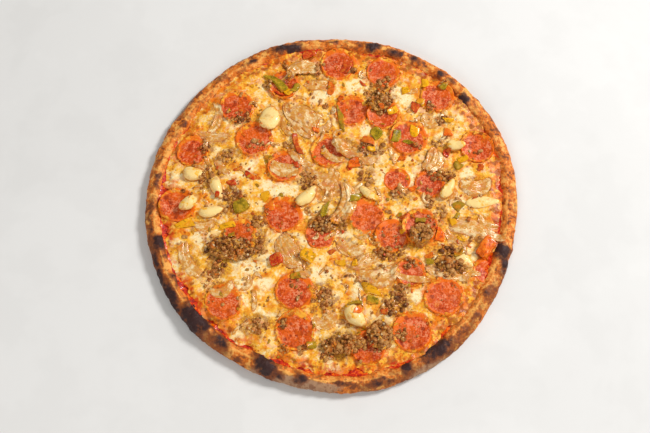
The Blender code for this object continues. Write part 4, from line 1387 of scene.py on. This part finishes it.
class AddPeppers(PizzaPiece, Operator):
    """Scatters the diced pepper of each colour"""

    bl_idname = "pizza.add_peppers"
    bl_label = "Diced pepper"

    def build(self, sizes, colours):
        height = sizes.dice_height
        raised = cad_tree(*cad_names("garlic"), *cad_names("sausage"), *cad_names("onion"))
        for number, (kind, rows) in enumerate(DICE.items()):
            name = "pepper_" + kind
            draw = random.Random(SEED + number)
            shape = painted("edge", "tone")
            join(shape, self.soften(cad_copy(name, 3), number, 0.2, 1.5))
            for row in rows:
                bit = self.block(draw, height, *row)
                join(shape, self.soften(bit, draw.uniform(0, 50), draw.uniform(0, 0.6), 1.0))
            for _ in range(LOOSE_DICE):
                row = (*anywhere(draw), draw.uniform(2, 4.5), draw.uniform(1.4, 2.8),
                       draw.uniform(0, 180))
                spot = on_pizza(*row[:2])
                if from_above(raised, spot.x, spot.y) is None:
                    bit = self.block(draw, height, *row)
                    join(shape, self.soften(bit, draw.uniform(0, 50), draw.uniform(0.3, 1.0), 0.5))
            material = pepper_material(name + "_flesh", getattr(colours, name), colours)
            finished(name + "_pieces", shape, material, [name])

    def block(self, draw, height, x, y, length, width, turn):
        """One bit: a bevelled block that bends over what it lies on."""
        shape = bmesh.new()
        bmesh.ops.create_cube(shape, size=1.0)
        for vert in shape.verts:
            vert.co += Vector([draw.uniform(-reach, reach) for reach in (0.26, 0.26, 0.2)])
        bmesh.ops.bevel(shape, geom=shape.edges[:], offset=0.2, segments=2, profile=0.5,
                        affect="EDGES", material=-1)
        bmesh.ops.subdivide_edges(shape, edges=shape.edges, cuts=1, use_grid_fill=True)
        middle = on_pizza(x, y)
        height *= draw.uniform(0.4, 0.75) * min(1, width / 6)
        skew, pinch = draw.uniform(-0.25, 0.25), draw.uniform(-0.25, 0.25)
        spin = Matrix.Rotation(math.radians(turn), 3, "Z")
        curve = draw.uniform(-0.12, 0.12) * length
        for vert in shape.verts:
            along, across, up = vert.co
            forward = (along + skew * across) * length
            sideways = across * width * (1 + pinch * along * 2) + curve * (4 * along * along - 1)
            place = spin @ Vector((forward, sideways, 0)) * MM
            px, py = middle.x + place.x, middle.y + place.y
            vert.co = (px, py, (up + 0.15) * height)
        for vert in shape.verts:
            vert.co.z += laid.top_round(vert.co.x, vert.co.y, 1.5 * MM)
        return shape

    def soften(self, shape, seed, muted, rough):
        """Rounds and crumples a bit, and paints shade at its foot and how dull it is."""
        settle(shape, 2, 0.4)
        edge, tone = values(shape, "edge", "tone")
        shape.normal_update()
        low = min(vert.co.z for vert in shape.verts)
        for vert in shape.verts:
            place = vert.co.copy()
            # Painted shade: darker towards the foot of the bit, where it meets the cheese
            vert[edge] = smooth_step((low + 2.0 * MM - place.z) / (2.0 * MM)) * 0.8
            vert[tone] = muted
            relief = wave(place, 4, seed) + 0.3 * wave(place, 1.6, seed)
            vert.co = place + vert.normal * rough * MM * relief
        return shape


class AddStage(Operator):
    """Sets up the floor, the soft light and the camera"""

    bl_idname = "pizza.add_stage"
    bl_label = "Stage"

    def execute(self, context):
        self.floor()
        self.light("key", (1.6, 0.8, 1.6), 0.6, 50)
        self.light("fill", (-0.6, -1.7, 1.1), 1.0, 13)
        world = bpy.data.worlds.new("studio")
        context.scene.world = world
        world.use_nodes = True
        background = world.node_tree.nodes["Background"]
        background.inputs["Color"].default_value = (1.0, 0.98, 0.95, 1)
        background.inputs["Strength"].default_value = 0.37
        context.scene.view_settings.view_transform = "Standard"
        self.camera(context)
        return {"FINISHED"}

    def floor(self):
        shape = bmesh.new()
        bmesh.ops.create_grid(shape, x_segments=1, y_segments=1, size=3.0)
        bmesh.ops.translate(shape, vec=(0, 0, -0.2 * MM), verts=shape.verts)
        mesh = bpy.data.meshes.new("floor")
        shape.to_mesh(mesh)
        shape.free()
        surface = Surface("pale_floor")
        base = surface.mottled(6, (0.80, 0.79, 0.77), (0.78, 0.77, 0.75), (0.76, 0.75, 0.73))
        mesh.materials.append(surface.finish(base, 60, 0.7, 0.8, 0.05 * MM))
        floor = bpy.data.objects.new("floor", mesh)
        bpy.context.scene.collection.objects.link(floor)

    def light(self, name, place, size, power):
        light = bpy.data.lights.new(name, "AREA")
        light.shape = "DISK"
        light.size = size
        light.energy = power
        lamp = bpy.data.objects.new(name, light)
        lamp.location = place
        lamp.rotation_euler = (-Vector(place)).to_track_quat("-Z", "Y").to_euler()
        bpy.context.scene.collection.objects.link(lamp)

    def camera(self, context):
        view = bpy.data.cameras.new("camera")
        view.sensor_width = SENSOR_WIDTH
        view.lens = PIXELS_AT_UNIT_DEPTH * SENSOR_WIDTH / PICTURE_SIZE[0]
        camera = bpy.data.objects.new("camera", view)
        back = VIEW_DISTANCE * math.cos(VIEW_ELEVATION)
        height = VIEW_DISTANCE * math.sin(VIEW_ELEVATION)
        camera.location = (VIEW_TARGET[0], VIEW_TARGET[1] - back, height)
        camera.rotation_euler = (math.pi / 2 - VIEW_ELEVATION, 0, 0)
        context.scene.collection.objects.link(camera)
        context.scene.camera = camera


PIECES = (AddCrust, AddSauce, AddCheese, AddPepperoni, AddOnion, AddGarlic, AddSausage, AddPeppers,
          AddStage)


class PizzaPanel(Panel):
    """Lists the pizza's pieces, sizes and colours"""

    bl_idname = "VIEW3D_PT_pizza"
    bl_label = "Pizza"
    bl_space_type = "VIEW_3D"
    bl_region_type = "UI"
    bl_category = "Pizza"

    def draw(self, context):
        for piece in PIECES:
            self.layout.operator(piece.bl_idname)
        for group in (context.scene.pizza_sizes, context.scene.pizza_colours):
            for name in group.__annotations__:
                self.layout.prop(group, name)


CLASSES = (PizzaSizes, PizzaColours, *PIECES, PizzaPanel)


def register():
    for item in CLASSES:
        bpy.utils.register_class(item)
    bpy.types.Scene.pizza_sizes = PointerProperty(type=PizzaSizes)
    bpy.types.Scene.pizza_colours = PointerProperty(type=PizzaColours)


def unregister():
    del bpy.types.Scene.pizza_colours
    del bpy.types.Scene.pizza_sizes
    for item in reversed(CLASSES):
        bpy.utils.unregister_class(item)


def main():
    register()
    for make_group in (make_mottle_group, make_spots_group, make_ragged_group, make_relief_group,
                       make_film_group):
        make_group()
    for piece in PIECES:
        add = getattr(bpy.ops.pizza, piece.bl_idname.removeprefix("pizza."))
        add()


if __name__ == "__main__":
    main()
